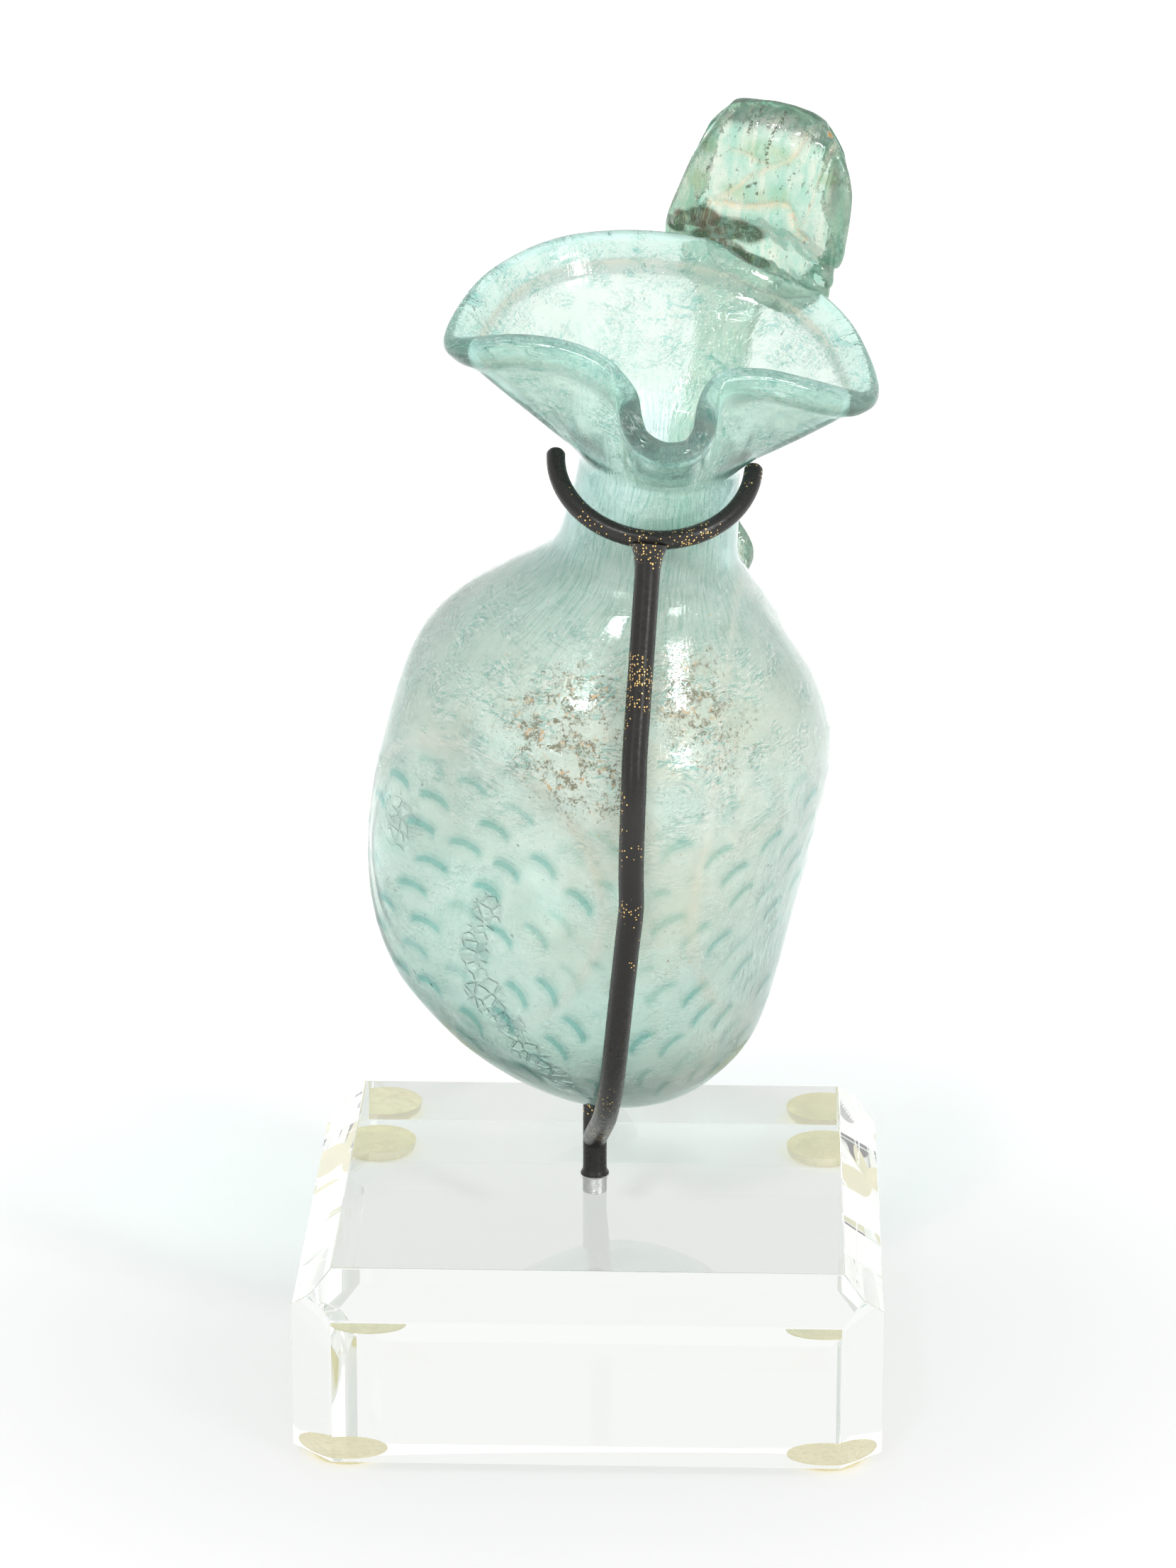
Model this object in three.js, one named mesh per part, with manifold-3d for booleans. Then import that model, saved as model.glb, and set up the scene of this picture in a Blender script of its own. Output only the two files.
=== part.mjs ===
// Ancient glass jug on its display mount.
//
// A blown, four-dented jug with a pinched trefoil mouth and a trailed handle stands tilted on a
// bent wire mount: its foot rests on the tip of a post, and its neck leans in an open wire ring.
// The post turns on a stud that is screwed into a bevelled clear acrylic block on four pads.
// Millimetres, +Z up, the spout towards -Y, the origin at the middle of the block's footprint
// on the surface that the pads stand on.

import * as THREE from 'three';
import { ConvexGeometry } from 'three/addons/geometries/ConvexGeometry.js';
import { mergeVertices } from 'three/addons/utils/BufferGeometryUtils.js';
import Module from 'manifold-3d';

const wasm = await Module();
wasm.setup();

const rad = THREE.MathUtils.degToRad;

// Fits
const clearance = 0.3;           // left between pieces that touch or turn on each other
const overrun = 1;               // how far a cutting tool runs past the face that it opens

// Acrylic block: a three inch square, bevelled on top, with its upright corners cut
const blockWidth = 76.2;
const blockDepth = 76.2;
const blockHeight = 24.9;
const edgeBevel = 5.2;
const cornerCut = 5.3;

// Pads under the block
const padDiameter = 10.4;
const padHeight = 1.5;
const padRoundover = 1.1;
const padInset = 7.1;            // from the block's sides to a pad's middle

// Threaded stud in the block, with the thin spigot that the post turns on
const studDiameter = 3.2;
const studDepth = 7.3;
const spigotDiameter = 1.8;
const spigotHeight = 5.5;

// Wire mount, bent from eighth inch and three thirty-seconds inch brass rod
const rodDiameter = 3.175;
const ringWire = 2.4;
const ringGap = 1.2;             // air between the ring and the neck, at the sides
const ringHalfArc = rad(91);     // from the front of the ring to each open end
const ringTilt = rad(25);        // front down, against the neck's own cross-section
const ringDrop = 5.5;            // of its lowest point, under the top of the neck
const postFlare = 0.25;          // rolled burr at the post's foot, on the radius
const postFlareHeight = 0.7;
const postTipChamfer = 0.45;
const brazeHeight = 5.2;         // of the upright's joint, above the block
const brazeSpread = 0.7;         // how far a braze fillet stands out from the rod
const brazeLength = 2.2;
const uprightStand = 0.4;        // air between the upright and the glass
const uprightFootX = 1;          // sideways place of the upright where it passes under the jug
const uprightBellyX = 5.6;       // and where it crosses the belly

// Glass jug, in its own frame: the foot at the origin, up along its own axis
const footHeight = 12.1;         // the jug's foot above the block
const footOffsetX = 0.5;
const footOffsetY = 4.4;
const leanRight = rad(4.5);
const leanForward = rad(12);
const bodyRadius = 30.6;
const bodyHeight = 80;           // up to the root of the neck
const bodyDrift = -4.2;          // sideways bulge of the body off the axis of the neck
const dentDepth = 6;
const dentHeight = 39;           // of a dent's middle
const dentReach = 26;            // from its middle to its upper and lower end
const dentTurn = rad(-27);       // of the front dent, from the spout
const kickDepth = 0.9;           // shallow hollow under the foot
const neckRadius = 10;
const neckLength = 13.5;
const mouthRadius = 26.5;        // from the axis to a side lobe's tip
const mouthLift = 13.5;          // of the side lobes above the neck
const mouthRise = 5.9;           // of the rim's back above the side lobes
const mouthSlant = rad(3.4);     // the left side of the rim stands higher
const wall = 1.6;
const footWall = 2.6;
const neckWall = 1.9;
const rimBead = 3;               // thickness of the folded edge
const beadStand = 0.8;           // how far the fold stands out of the wall's outer face

// Trailed strap handle with a folded thumb rest
const handleTurn = rad(158);       // behind the jug, on its right
const strapThickness = 3.4;
const thumbWidth = 22;
const thumbRise = 23;            // of the fold's middle line above the side lobes
const thumbShift = 3.6;          // sideways lean of the fold's front
const thumbTwist = 0.4;          // what the lean loses with each millimetre towards the back
const thumbShiftRise = 20;       // height above the side lobes at which it has leant over
const lobeDip = 5;               // of the fold's lower left corner, down to the rim
const lobeStart = 2;             // from the strap's middle line to where the corner begins to dip
const gripStand = 2.5;           // of the strap's middle line beyond the mouth
const handleFootDrop = 3;        // of the lower joint, under the root of the neck

// Colours and finishes
const acrylic = { color: 0xeef0ec, roughness: 0.05, metalness: 0 };
const rubber = { color: 0xe8dca8, roughness: 0.35, metalness: 0 };
const steel = { color: 0xb9bbb8, roughness: 0.3, metalness: 1 };
const blackPaint = { color: 0x2b2925, roughness: 0.45, metalness: 0.2 };
const glass = { color: 0xa9d2c8, roughness: 0.12, metalness: 0 };
const handleGlass = { color: 0x93c2b2, roughness: 0.12, metalness: 0 };

// Facets
const roundSides = 24;
const rodSides = 12;
const columnStep = rad(8);       // of the jug's mesh, round its axis
const columnsPerSpan = 2;        // and its least number between two named points of the rim
const rowsPerSpan = 2;           // of the jug's mesh, between two named points of the profile
const flareRowShares = [0.15, 0.3, 0.45, 0.6, 0.75, 0.86, 0.93, 1];
const edgeRowShares = [0.2, 0.4, 0.6, 0.8];
const uprightSteps = 44;
const ringSteps = 32;
const strapSides = 16;
const strapRows = 44;
const slopeStep = 0.01;          // between the two points that give a slope

// Worked out from the sizes above
const blockBottom = padHeight;
const blockTop = blockBottom + blockHeight;
const rodRadius = rodDiameter / 2;
const neckTop = bodyHeight + neckLength;
const mouthHeight = neckTop + mouthLift;
const ringRadius = neckRadius + ringGap + ringWire / 2;
const ringFrontHeight = neckTop - ringDrop;
const thumbHeight = mouthHeight + thumbRise;
const gripReach = mouthRadius + gripStand;
const handleFoot = bodyHeight - handleFootDrop;

// Solids from meshes, and back

function toSolid(geometry) {
  const bare = geometry.clone();
  bare.deleteAttribute('normal');
  bare.deleteAttribute('uv');
  const merged = mergeVertices(bare);
  return new wasm.Manifold(new wasm.Mesh({
    numProp: 3,
    vertProperties: new Float32Array(merged.attributes.position.array),
    triVerts: new Uint32Array(merged.index.array),
  }));
}

function toGeometry(solid) {
  const mesh = solid.getMesh();
  const geometry = new THREE.BufferGeometry();
  geometry.setAttribute('position', new THREE.BufferAttribute(mesh.vertProperties, mesh.numProp));
  geometry.setIndex(new THREE.BufferAttribute(mesh.triVerts, 1));
  geometry.computeVertexNormals();
  return geometry;
}

function turned(profile, sides = roundSides) {
  const points = profile.map(([radius, height]) => new THREE.Vector2(radius, height));
  return new THREE.LatheGeometry(points, sides).rotateX(Math.PI / 2);
}

function rod(curve, diameter, steps) {
  const circle = new THREE.Shape().absarc(0, 0, diameter / 2, 0, Math.PI * 2);
  const section = new THREE.Shape(circle.getSpacedPoints(rodSides).slice(0, rodSides));
  return new THREE.ExtrudeGeometry(section, { steps, bevelEnabled: false, extrudePath: curve });
}

// A closed skin over rings of points, with a single point at each end.
function skin(rings, firstPole, lastPole) {
  const count = rings[0].length;
  const positions = [firstPole, ...rings.flat(), lastPole].flatMap((p) => [p.x, p.y, p.z]);
  const at = (row, column) => 1 + row * count + (column % count);
  const last = 1 + rings.length * count;
  const index = [];
  for (let column = 0; column < count; column += 1) {
    index.push(0, at(0, column + 1), at(0, column));
    for (let row = 0; row + 1 < rings.length; row += 1) {
      index.push(at(row, column), at(row, column + 1), at(row + 1, column + 1));
      index.push(at(row, column), at(row + 1, column + 1), at(row + 1, column));
    }
    index.push(last, at(rings.length - 1, column), at(rings.length - 1, column + 1));
  }
  const geometry = new THREE.BufferGeometry();
  geometry.setAttribute('position', new THREE.Float32BufferAttribute(positions, 3));
  geometry.setIndex(index);
  geometry.computeVertexNormals();
  return geometry;
}

// The jug's outer surface

// Radius as a share of the body's radius, and height as a share of the body's height.
const profileShares = [
  [0.105, 0.002], [0.235, 0.015], [0.43, 0.05], [0.585, 0.1], [0.72, 0.1625], [0.845, 0.25],
  [0.925, 0.35], [0.975, 0.4625], [0.985, 0.575], [0.96, 0.675], [0.885, 0.7625],
  [0.755, 0.8375], [0.603, 0.9], [0.475, 0.95], [0.385, 1],
];

// Where the wall has thinned from the foot's and where it begins to thicken to the neck's, as
// shares of the body's height, and where the folded edge begins and is full, of the mouth's flare.
const footEndShare = 0.25;
const neckStartShare = 0.85;
const beadStartShare = 0.78;
const beadFullShare = 0.95;

// The dents' depths as shares of the deepest, from the front one round to the right.
const dentShares = [1, 0.35, 0.85, 0.95];

// Sideways bulge of the body as a share of its greatest, at a share of the body's height.
const driftShares = [[0, -0.4], [0.1, 0.05], [0.25, 0.84], [0.46, 0.94], [0.675, 0.62],
  [0.84, 0.66], [0.975, 0.05], [1.2, -0.2]];

// A loop from the spout over the right and the back: across and towards the spout as shares of the mouth's
// radius, the height above the side lobes as a share of the rise, and the wall's outward bow
// below the edge as a share of the mouth's radius.
const rimShares = [
  [0.015, 0.691, -0.773, 0.02], [0.159, 0.649, -0.7, 0.02], [0.229, 0.518, -0.476, 0.03],
  [0.243, 0.402, -0.159, 0.05], [0.282, 0.3, 0.223, 0.1], [0.437, 0.232, 0.276, 0.12],
  [0.681, 0.187, 0.047, 0.085], [0.922, 0.101, -0.286, 0.05], [0.984, -0.028, -0.376, 0.035],
  [0.947, -0.286, -0.197, 0.015], [0.822, -0.581, 0.088, 0], [0.499, -0.84, 0.498, 0],
  [0, -0.928, 0.683, 0], [-0.501, -0.837, 0.455, 0], [-0.818, -0.577, 0.042, 0],
  [-0.953, -0.284, -0.268, 0.015], [-0.997, -0.027, -0.463, 0.035], [-0.931, 0.099, -0.259, 0.05],
  [-0.693, 0.183, 0.171, 0.085], [-0.442, 0.235, 0.284, 0.12], [-0.277, 0.304, 0.169, 0.1],
  [-0.192, 0.396, -0.132, 0.05], [-0.166, 0.511, -0.384, 0.03], [-0.115, 0.641, -0.611, 0.02],
];

function splineOf(shares) {
  const points = shares.map(([where, share]) => new THREE.Vector2(where, share));
  return new THREE.SplineCurve(points);
}

const driftCurve = splineOf(driftShares);

function driftAt(height) {
  const share = height / bodyHeight;
  const last = driftShares.length - 1;
  let span = driftShares.findIndex(([where]) => where > share) - 1;
  if (span < 0) span = share < driftShares[0][0] ? 0 : last - 1;
  const [from] = driftShares[span];
  const [to] = driftShares[span + 1];
  const within = THREE.MathUtils.clamp((share - from) / (to - from), 0, 1);
  return bodyDrift * driftCurve.getPoint((span + within) / last).y;
}

const outline = new THREE.SplineCurve([
  ...profileShares.map(([r, h]) => new THREE.Vector2(r * bodyRadius, h * bodyHeight)),
  new THREE.Vector2(THREE.MathUtils.lerp(profileShares.at(-1)[0] * bodyRadius, neckRadius, 0.6),
    THREE.MathUtils.lerp(bodyHeight, neckTop, 0.45)),
  new THREE.Vector2(neckRadius, neckTop),
]);
const outlineSpans = profileShares.length + 1;

function dentAt(turn, height) {
  const place = ((turn - dentTurn) * dentShares.length) / (Math.PI * 2);
  const dent = Math.round(place);
  const across = Math.cos((place - dent) * Math.PI) ** 2;
  const along = Math.max(0, 1 - ((height - dentHeight) / dentReach) ** 2) ** 1.5;
  return dentDepth * dentShares[THREE.MathUtils.euclideanModulo(dent, dentShares.length)] * across * along;
}

// A point of the body or neck; turn is measured from the spout towards the right.
function bodyPoint(along, turn) {
  const { x: plainRadius, y: height } = outline.getPoint(along);
  const radius = plainRadius - dentAt(turn, height);
  return new THREE.Vector3(radius * Math.sin(turn) + driftAt(height), -radius * Math.cos(turn), height);
}

function rimPoint([across, forward, rise]) {
  const x = across * mouthRadius;
  const height = mouthHeight + rise * mouthRise - x * Math.tan(mouthSlant);
  return new THREE.Vector3(x, -forward * mouthRadius, height);
}

const rimCurve = new THREE.CatmullRomCurve3(rimShares.map(rimPoint), true, 'centripetal');
const bowShares = rimShares.map((share) => share[3]);
const rimSpans = bowShares.length;
const turnOf = (p) => Math.atan2(p.x, -p.y);

// Places along the rim's curve, in spans, so that the columns stand about evenly round the axis.
function columnPlaces() {
  const places = [];
  for (let span = 0; span < rimSpans; span += 1) {
    const from = turnOf(rimCurve.getPoint(span / rimSpans));
    const to = turnOf(rimCurve.getPoint((span + 1) / rimSpans));
    const sweep = Math.abs(THREE.MathUtils.euclideanModulo(to - from + Math.PI, Math.PI * 2) - Math.PI);
    const count = Math.max(columnsPerSpan, Math.round(sweep / columnStep));
    for (let step = 0; step < count; step += 1) places.push(span + step / count);
  }
  return places;
}

// One upright line of the outer surface, from the foot to the rim's edge.
function outerColumn(place) {
  const edge = rimCurve.getPoint(place / rimSpans);
  const turn = turnOf(edge);
  const rows = [];
  for (let row = 0; row <= outlineSpans * rowsPerSpan; row += 1) {
    rows.push(bodyPoint(row / (outlineSpans * rowsPerSpan), turn));
  }
  const root = rows.at(-1);
  const span = Math.floor(place);
  const bowShare = THREE.MathUtils.lerp(bowShares[span], bowShares[(span + 1) % rimSpans], place - span);
  const outward = new THREE.Vector3(Math.sin(turn), -Math.cos(turn), 0);
  const bend = root.clone().lerp(edge, 0.5).addScaledVector(outward, bowShare * mouthRadius);
  const flare = new THREE.QuadraticBezierCurve3(root, bend, edge);
  for (const share of flareRowShares) rows.push(flare.getPoint(share));
  return rows;
}

const outerColumns = columnPlaces().map(outerColumn);
const columns = outerColumns.length;
const flatRows = outerColumns[0].map((_, row) => outerColumns.map((line) => line[row]));
const lastRow = flatRows.length - 1;
const flareStart = lastRow - flareRowShares.length;

// The outward direction at each point of the outer surface.
function outwardAt(row, column) {
  const up = flatRows[Math.min(row + 1, lastRow)][column].clone()
    .sub(flatRows[Math.max(row - 1, 0)][column]);
  const along = flatRows[row][(column + 1) % columns].clone()
    .sub(flatRows[row][(column + columns - 1) % columns]);
  return along.cross(up).normalize();
}

// How much of the folded edge there is in a row: none in the wall, all at the rim.
function beadShare(row) {
  const share = row > flareStart ? flareRowShares[row - flareStart - 1] : 0;
  return THREE.MathUtils.smoothstep(share, beadStartShare, beadFullShare);
}

// A row of the surface moved along its outward directions.
function offsetRow(row, distance) {
  return flatRows[row].map((p, column) => p.clone().addScaledVector(outwardAt(row, column), distance));
}

const outerRows = flatRows.map((_, row) => offsetRow(row, beadStand * beadShare(row)));

function thicknessAt(row) {
  const height = outerRows[row][0].z / bodyHeight;
  const body = THREE.MathUtils.lerp(footWall, wall, THREE.MathUtils.smoothstep(height, 0, footEndShare));
  const neck = THREE.MathUtils.smoothstep(height, neckStartShare, 1);
  const flare = THREE.MathUtils.smoothstep(row - flareStart, 0, flareRowShares.length / 2);
  const shaft = THREE.MathUtils.lerp(body, neckWall, neck);
  return THREE.MathUtils.lerp(THREE.MathUtils.lerp(shaft, wall, flare), rimBead, beadShare(row));
}

// The rounded edge of the rim, from the outer face over to the inner one.
function rimEdgeRow(share, grown = 0) {
  const angle = share * Math.PI;
  const radius = rimBead / 2;
  const inward = radius - Math.cos(angle) * (radius + grown);
  const lift = Math.sin(angle) * (radius + grown);
  return outerRows[lastRow].map((p, column) => {
    const up = flatRows[lastRow][column].clone().sub(flatRows[lastRow - 1][column]).normalize();
    return p.clone().addScaledVector(outwardAt(lastRow, column), -inward).addScaledVector(up, lift);
  });
}

function poleUnder(rows, height) {
  return new THREE.Vector3(rows[0].reduce((sum, p) => sum + p.x, 0) / columns, 0, height);
}

function vesselGeometry() {
  const innerRows = [...outerRows.keys()].filter((row) => row > flareStart || row % 2 === 0).reverse();
  const inner = innerRows.map((row) => offsetRow(row, beadStand * beadShare(row) - thicknessAt(row)));
  const edge = edgeRowShares.map((share) => rimEdgeRow(share));
  const under = poleUnder(outerRows, kickDepth);
  const inside = poleUnder(outerRows, kickDepth + footWall);
  return skin([...outerRows, ...edge, ...inner], under, inside);
}

// The jug as one closed lump grown by the clearance, to cut what is fused to it.
function vesselEnvelope() {
  const grown = outerRows.map((_, row) => offsetRow(row, beadStand * beadShare(row) + clearance));
  const edge = [...edgeRowShares, 1].map((share) => rimEdgeRow(share, clearance));
  const top = poleUnder(outerRows, mouthHeight - mouthRise);
  return skin([...grown, ...edge], poleUnder(outerRows, -clearance), top);
}

// Where the jug stands

const vesselMatrix = new THREE.Matrix4().makeRotationX(leanForward)
  .multiply(new THREE.Matrix4().makeRotationY(leanRight))
  .setPosition(footOffsetX, footOffsetY, blockTop + footHeight);
const placed = (p) => p.clone().applyMatrix4(vesselMatrix);

// The lowest height of the jug straight above a disc round the post's axis.
function undersideAbove(radius) {
  const near = outerRows.flat().map(placed).filter((p) => Math.hypot(p.x, p.y) < radius);
  return Math.min(...near.map((p) => p.z));
}

const postTop = undersideAbove(rodDiameter) - clearance;

// Acrylic block and what is in and under it

function blockCorner(x, y, z) {
  return [[1, 1], [1, -1], [-1, -1], [-1, 1]].map(([sx, sy]) => new THREE.Vector3(sx * x, sy * y, z));
}

function blockGeometry() {
  const halfWidth = blockWidth / 2;
  const halfDepth = blockDepth / 2;
  const topLength = edgeBevel - cornerCut / 2;
  const points = [
    ...blockCorner(halfWidth - edgeBevel, halfDepth - edgeBevel, blockTop),
    ...blockCorner(halfWidth - cornerCut / 2, halfDepth - cornerCut / 2, blockTop - topLength),
    ...blockCorner(halfWidth, halfDepth - cornerCut, blockTop - edgeBevel),
    ...blockCorner(halfWidth - cornerCut, halfDepth, blockTop - edgeBevel),
    ...blockCorner(halfWidth, halfDepth - cornerCut, blockBottom),
    ...blockCorner(halfWidth - cornerCut, halfDepth, blockBottom),
  ];
  const radius = studDiameter / 2 + clearance;
  const bottom = blockTop - studDepth - clearance;
  const hole = turned([[0, bottom], [radius, bottom], [radius, blockTop + overrun], [0, blockTop + overrun]]);
  return toGeometry(toSolid(new ConvexGeometry(points)).subtract(toSolid(hole)));
}

const padRoundShares = [0.35, 0.7, 1];

function padGeometry() {
  const radius = padDiameter / 2;
  const flat = radius - padRoundover;
  const profile = [[0, 0], [flat, 0]];
  for (const share of padRoundShares) {
    const angle = share * Math.PI / 2;
    profile.push([flat + padRoundover * Math.sin(angle), padRoundover * (1 - Math.cos(angle))]);
  }
  profile.push([radius, padHeight], [0, padHeight]);
  return turned(profile);
}

function studGeometry() {
  const radius = studDiameter / 2;
  const bottom = blockTop - studDepth;
  const tip = blockTop + spigotHeight;
  const spigot = spigotDiameter / 2;
  const shoulder = blockTop - clearance;
  const chamfer = spigot / 3;
  return turned([[0, bottom], [radius, bottom], [radius, shoulder], [spigot, shoulder],
    [spigot, tip - chamfer], [spigot - chamfer, tip], [0, tip]]);
}

// Wire mount

function postGeometry() {
  const bottom = blockTop + clearance;
  const bore = spigotDiameter / 2 + clearance;
  const boreTop = blockTop + spigotHeight + clearance;
  const burr = rodRadius + postFlare;
  return turned([[bore, bottom], [burr, bottom], [burr, bottom + postFlareHeight / 3],
    [rodRadius, bottom + postFlareHeight], [rodRadius, postTop - postTipChamfer],
    [rodRadius - postTipChamfer, postTop], [0, postTop], [0, boreTop], [bore, boreTop], [bore, bottom]]);
}

// How far the neck's front stands from its axis at a height.
function neckFront(height) {
  const above = outerColumns[0].findIndex((p) => p.z > height);
  const [low, high] = outerColumns[0].slice(above - 1, above + 1);
  return -THREE.MathUtils.mapLinear(height, low.z, high.z, low.y, high.y);
}

// The ring lies in the jug's frame: round the neck, its front against the glass.
const ringFrontRadius = neckFront(ringFrontHeight - ringWire / 2) + uprightStand + ringWire / 2;

class RingArc extends THREE.Curve {
  getPoint(share) {
    const angle = THREE.MathUtils.lerp(-ringHalfArc, ringHalfArc, share);
    const back = ringRadius * (1 - Math.cos(angle));
    return placed(new THREE.Vector3(ringRadius * Math.sin(angle),
      -ringFrontRadius + back * Math.cos(ringTilt), ringFrontHeight + back * Math.sin(ringTilt)));
  }
}

const ringArc = new RingArc();
const ringFront = ringArc.getPoint(0.5);

// Heights at which the upright begins to hug the jug, has reached its sideways place on the
// belly, and leaves the jug for the ring, as shares of the body's height.
const uprightStartShare = 0.05;
const uprightBellyShare = 0.575;
const uprightEndShare = 0.825;
const turnPasses = 6;

// A point at a given sideways place, off the jug's front by the upright's radius and its air.
function beforeBelly(along) {
  const rise = Math.min(1, outline.getPoint(along).y / (uprightBellyShare * bodyHeight));
  const x = THREE.MathUtils.lerp(uprightFootX, uprightBellyX, rise);
  let turn = 0;
  let point = bodyPoint(along, turn);
  for (let pass = 0; pass < turnPasses; pass += 1) {
    turn += (x - placed(point).x) / Math.hypot(point.x, point.y);
    point = bodyPoint(along, turn);
  }
  const up = bodyPoint(along + slopeStep, turn).sub(bodyPoint(along - slopeStep, turn));
  const right = bodyPoint(along, turn + slopeStep).sub(bodyPoint(along, turn - slopeStep));
  return placed(point.addScaledVector(right.cross(up).normalize(), rodRadius + uprightStand));
}

// The upright starts at the post, hugs the jug's underside and belly, and runs up to the ring.
function uprightRoute() {
  const route = [new THREE.Vector3(0, 0, blockTop + brazeHeight)];
  for (let row = 0; row < outlineSpans * rowsPerSpan; row += 1) {
    const along = row / (outlineSpans * rowsPerSpan);
    const share = outline.getPoint(along).y / bodyHeight;
    if (share > uprightStartShare && share < uprightEndShare) route.push(beforeBelly(along));
  }
  const belly = route.at(-1);
  const end = ringFront.clone().lerp(belly, (ringWire / 2 + clearance) / ringFront.distanceTo(belly));
  route.push(belly.clone().lerp(end, 0.5), end);
  return new THREE.CatmullRomCurve3(route, false, 'centripetal');
}

// A fillet's outline: how far it stands out and how far along the rod, as shares of its spread
// and its length. It ends just inside the rod.
const filletShares = [[1, 0], [0.3, 0.5], [-0.1, 1]];

// The spread foot of brazing metal round the end of a rod.
function brazeFillet(end, direction) {
  const slope = filletShares.map(([out, along]) => [rodRadius + out * brazeSpread, along * brazeLength]);
  const fillet = turned([[0, 0], ...slope, [0, brazeLength]], rodSides);
  const along = new THREE.Quaternion().setFromUnitVectors(new THREE.Vector3(0, 0, 1), direction);
  return fillet.applyQuaternion(along).translate(end.x, end.y, end.z);
}

function uprightGeometry() {
  const route = uprightRoute();
  const post = turned([[0, blockTop], [rodRadius + clearance, blockTop], [rodRadius + clearance, postTop],
    [0, postTop]]);
  const foot = route.getPoint(0).addScaledVector(route.getTangent(0), rodRadius - brazeSpread / 2);
  const solid = toSolid(rod(route, rodDiameter, uprightSteps))
    .add(toSolid(brazeFillet(foot, route.getTangent(0))))
    .add(toSolid(brazeFillet(ringFront, route.getTangent(1).negate())))
    .subtract(toSolid(post)).subtract(toSolid(rod(ringArc, ringWire + clearance * 2, ringSteps)))
    .subtract(toSolid(vesselEnvelope().applyMatrix4(vesselMatrix)));
  return toGeometry(solid);
}

function ringGeometry() {
  return rod(ringArc, ringWire, ringSteps);
}

// Handle

// Along the strap from the shoulder to the end of its fold: the reach from the axis as a share of
// the grip's, the height and width as shares of the thumb rest's, the thickness of the strap's.
const strapShares = [
  { reach: 0.45, height: 0, width: 0.6, thickness: 1 },
  { reach: 0.6, height: 0.06, width: 0.5, thickness: 1.1 },
  { reach: 0.78, height: 0.18, width: 0.37, thickness: 1.1 },
  { reach: 0.92, height: 0.36, width: 0.36, thickness: 1 },
  { reach: 0.98, height: 0.5, width: 0.44, thickness: 1 },
  { reach: 0.985, height: 0.6, width: 0.8, thickness: 1.15 },
  { reach: 1, height: 0.68, width: 0.9, thickness: 1.15 },
  { reach: 1.03, height: 0.8, width: 0.96, thickness: 0.95 },
  { reach: 1.03, height: 0.92, width: 0.78, thickness: 0.9 },
  { reach: 0.965, height: 1, width: 0.56, thickness: 0.9 },
  { reach: 0.88, height: 0.965, width: 0.72, thickness: 0.95 },
  { reach: 0.835, height: 0.87, width: 0.97, thickness: 1 },
  { reach: 0.82, height: 0.78, width: 1.04, thickness: 1.15 },
  { reach: 0.835, height: 0.75, width: 1, thickness: 0.75 },
];

// The strap's section is between an ellipse, at 1, and a rectangle, at 0.
const strapRoundShare = 0.8;

// The fold's lower left corner dips from this share of the strap's length to its end.
const dipStartShare = 0.82;

const foldReach = strapShares.at(-1).reach * gripReach;

function strapCurveOf(pick) {
  return new THREE.CatmullRomCurve3(strapShares.map(pick), false, 'centripetal');
}

function squared(share) {
  return Math.sign(share) * Math.abs(share) ** strapRoundShare;
}

function strapRings() {
  const middle = strapCurveOf((s) => new THREE.Vector3(s.reach * gripReach, 0,
    THREE.MathUtils.lerp(handleFoot, thumbHeight, s.height)));
  const sizes = strapCurveOf((s) => new THREE.Vector3(s.width * thumbWidth, s.thickness * strapThickness, 0));
  const rings = [];
  for (let row = 0; row <= strapRows; row += 1) {
    const share = row / strapRows;
    const place = middle.getPoint(share);
    const tangent = middle.getTangent(share);
    const normal = new THREE.Vector3(tangent.z, 0, -tangent.x);
    const size = sizes.getPoint(share);
    const shift = (thumbShift - thumbTwist * Math.max(place.x - foldReach, 0))
      * THREE.MathUtils.smoothstep(place.z, mouthHeight, mouthHeight + thumbShiftRise);
    const dip = lobeDip * THREE.MathUtils.smoothstep(share, dipStartShare, 1);
    rings.push(Array.from({ length: strapSides }, (_, side) => {
      const angle = (-side / strapSides) * Math.PI * 2;
      const across = squared(Math.cos(angle)) * size.x / 2;
      const through = squared(Math.sin(angle)) * size.y / 2;
      return place.clone().addScaledVector(normal, through)
        .add(new THREE.Vector3(0, across - shift,
          -dip * THREE.MathUtils.smoothstep(across, lobeStart, thumbWidth / 2)));
    }));
  }
  return { rings, first: middle.getPoint(0), last: middle.getPoint(1) };
}

function handleGeometry() {
  const { rings, first, last } = strapRings();
  const strap = skin(rings, first, last);
  strap.rotateZ(handleTurn - Math.PI / 2);
  return toGeometry(toSolid(strap).subtract(toSolid(vesselEnvelope())));
}

// Assembly

function piece(name, geometry, finish) {
  const mesh = new THREE.Mesh(geometry, new THREE.MeshStandardMaterial(finish));
  mesh.name = name;
  return mesh;
}

const stand = new THREE.Group();
stand.add(piece('acrylic_base', blockGeometry(), acrylic));
for (const [end, sy] of [['front', -1], ['back', 1]]) {
  for (const [side, sx] of [['left', -1], ['right', 1]]) {
    const pad = piece(`foot_pad_${end}_${side}`, padGeometry(), rubber);
    pad.position.set(sx * (blockWidth / 2 - padInset), sy * (blockDepth / 2 - padInset), 0);
    stand.add(pad);
  }
}
stand.add(piece('base_stud', studGeometry(), steel));

const mount = new THREE.Group();
mount.add(piece('support_post', postGeometry(), blackPaint));
mount.add(piece('front_upright', uprightGeometry(), blackPaint));
mount.add(piece('neck_ring', ringGeometry(), blackPaint));

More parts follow.
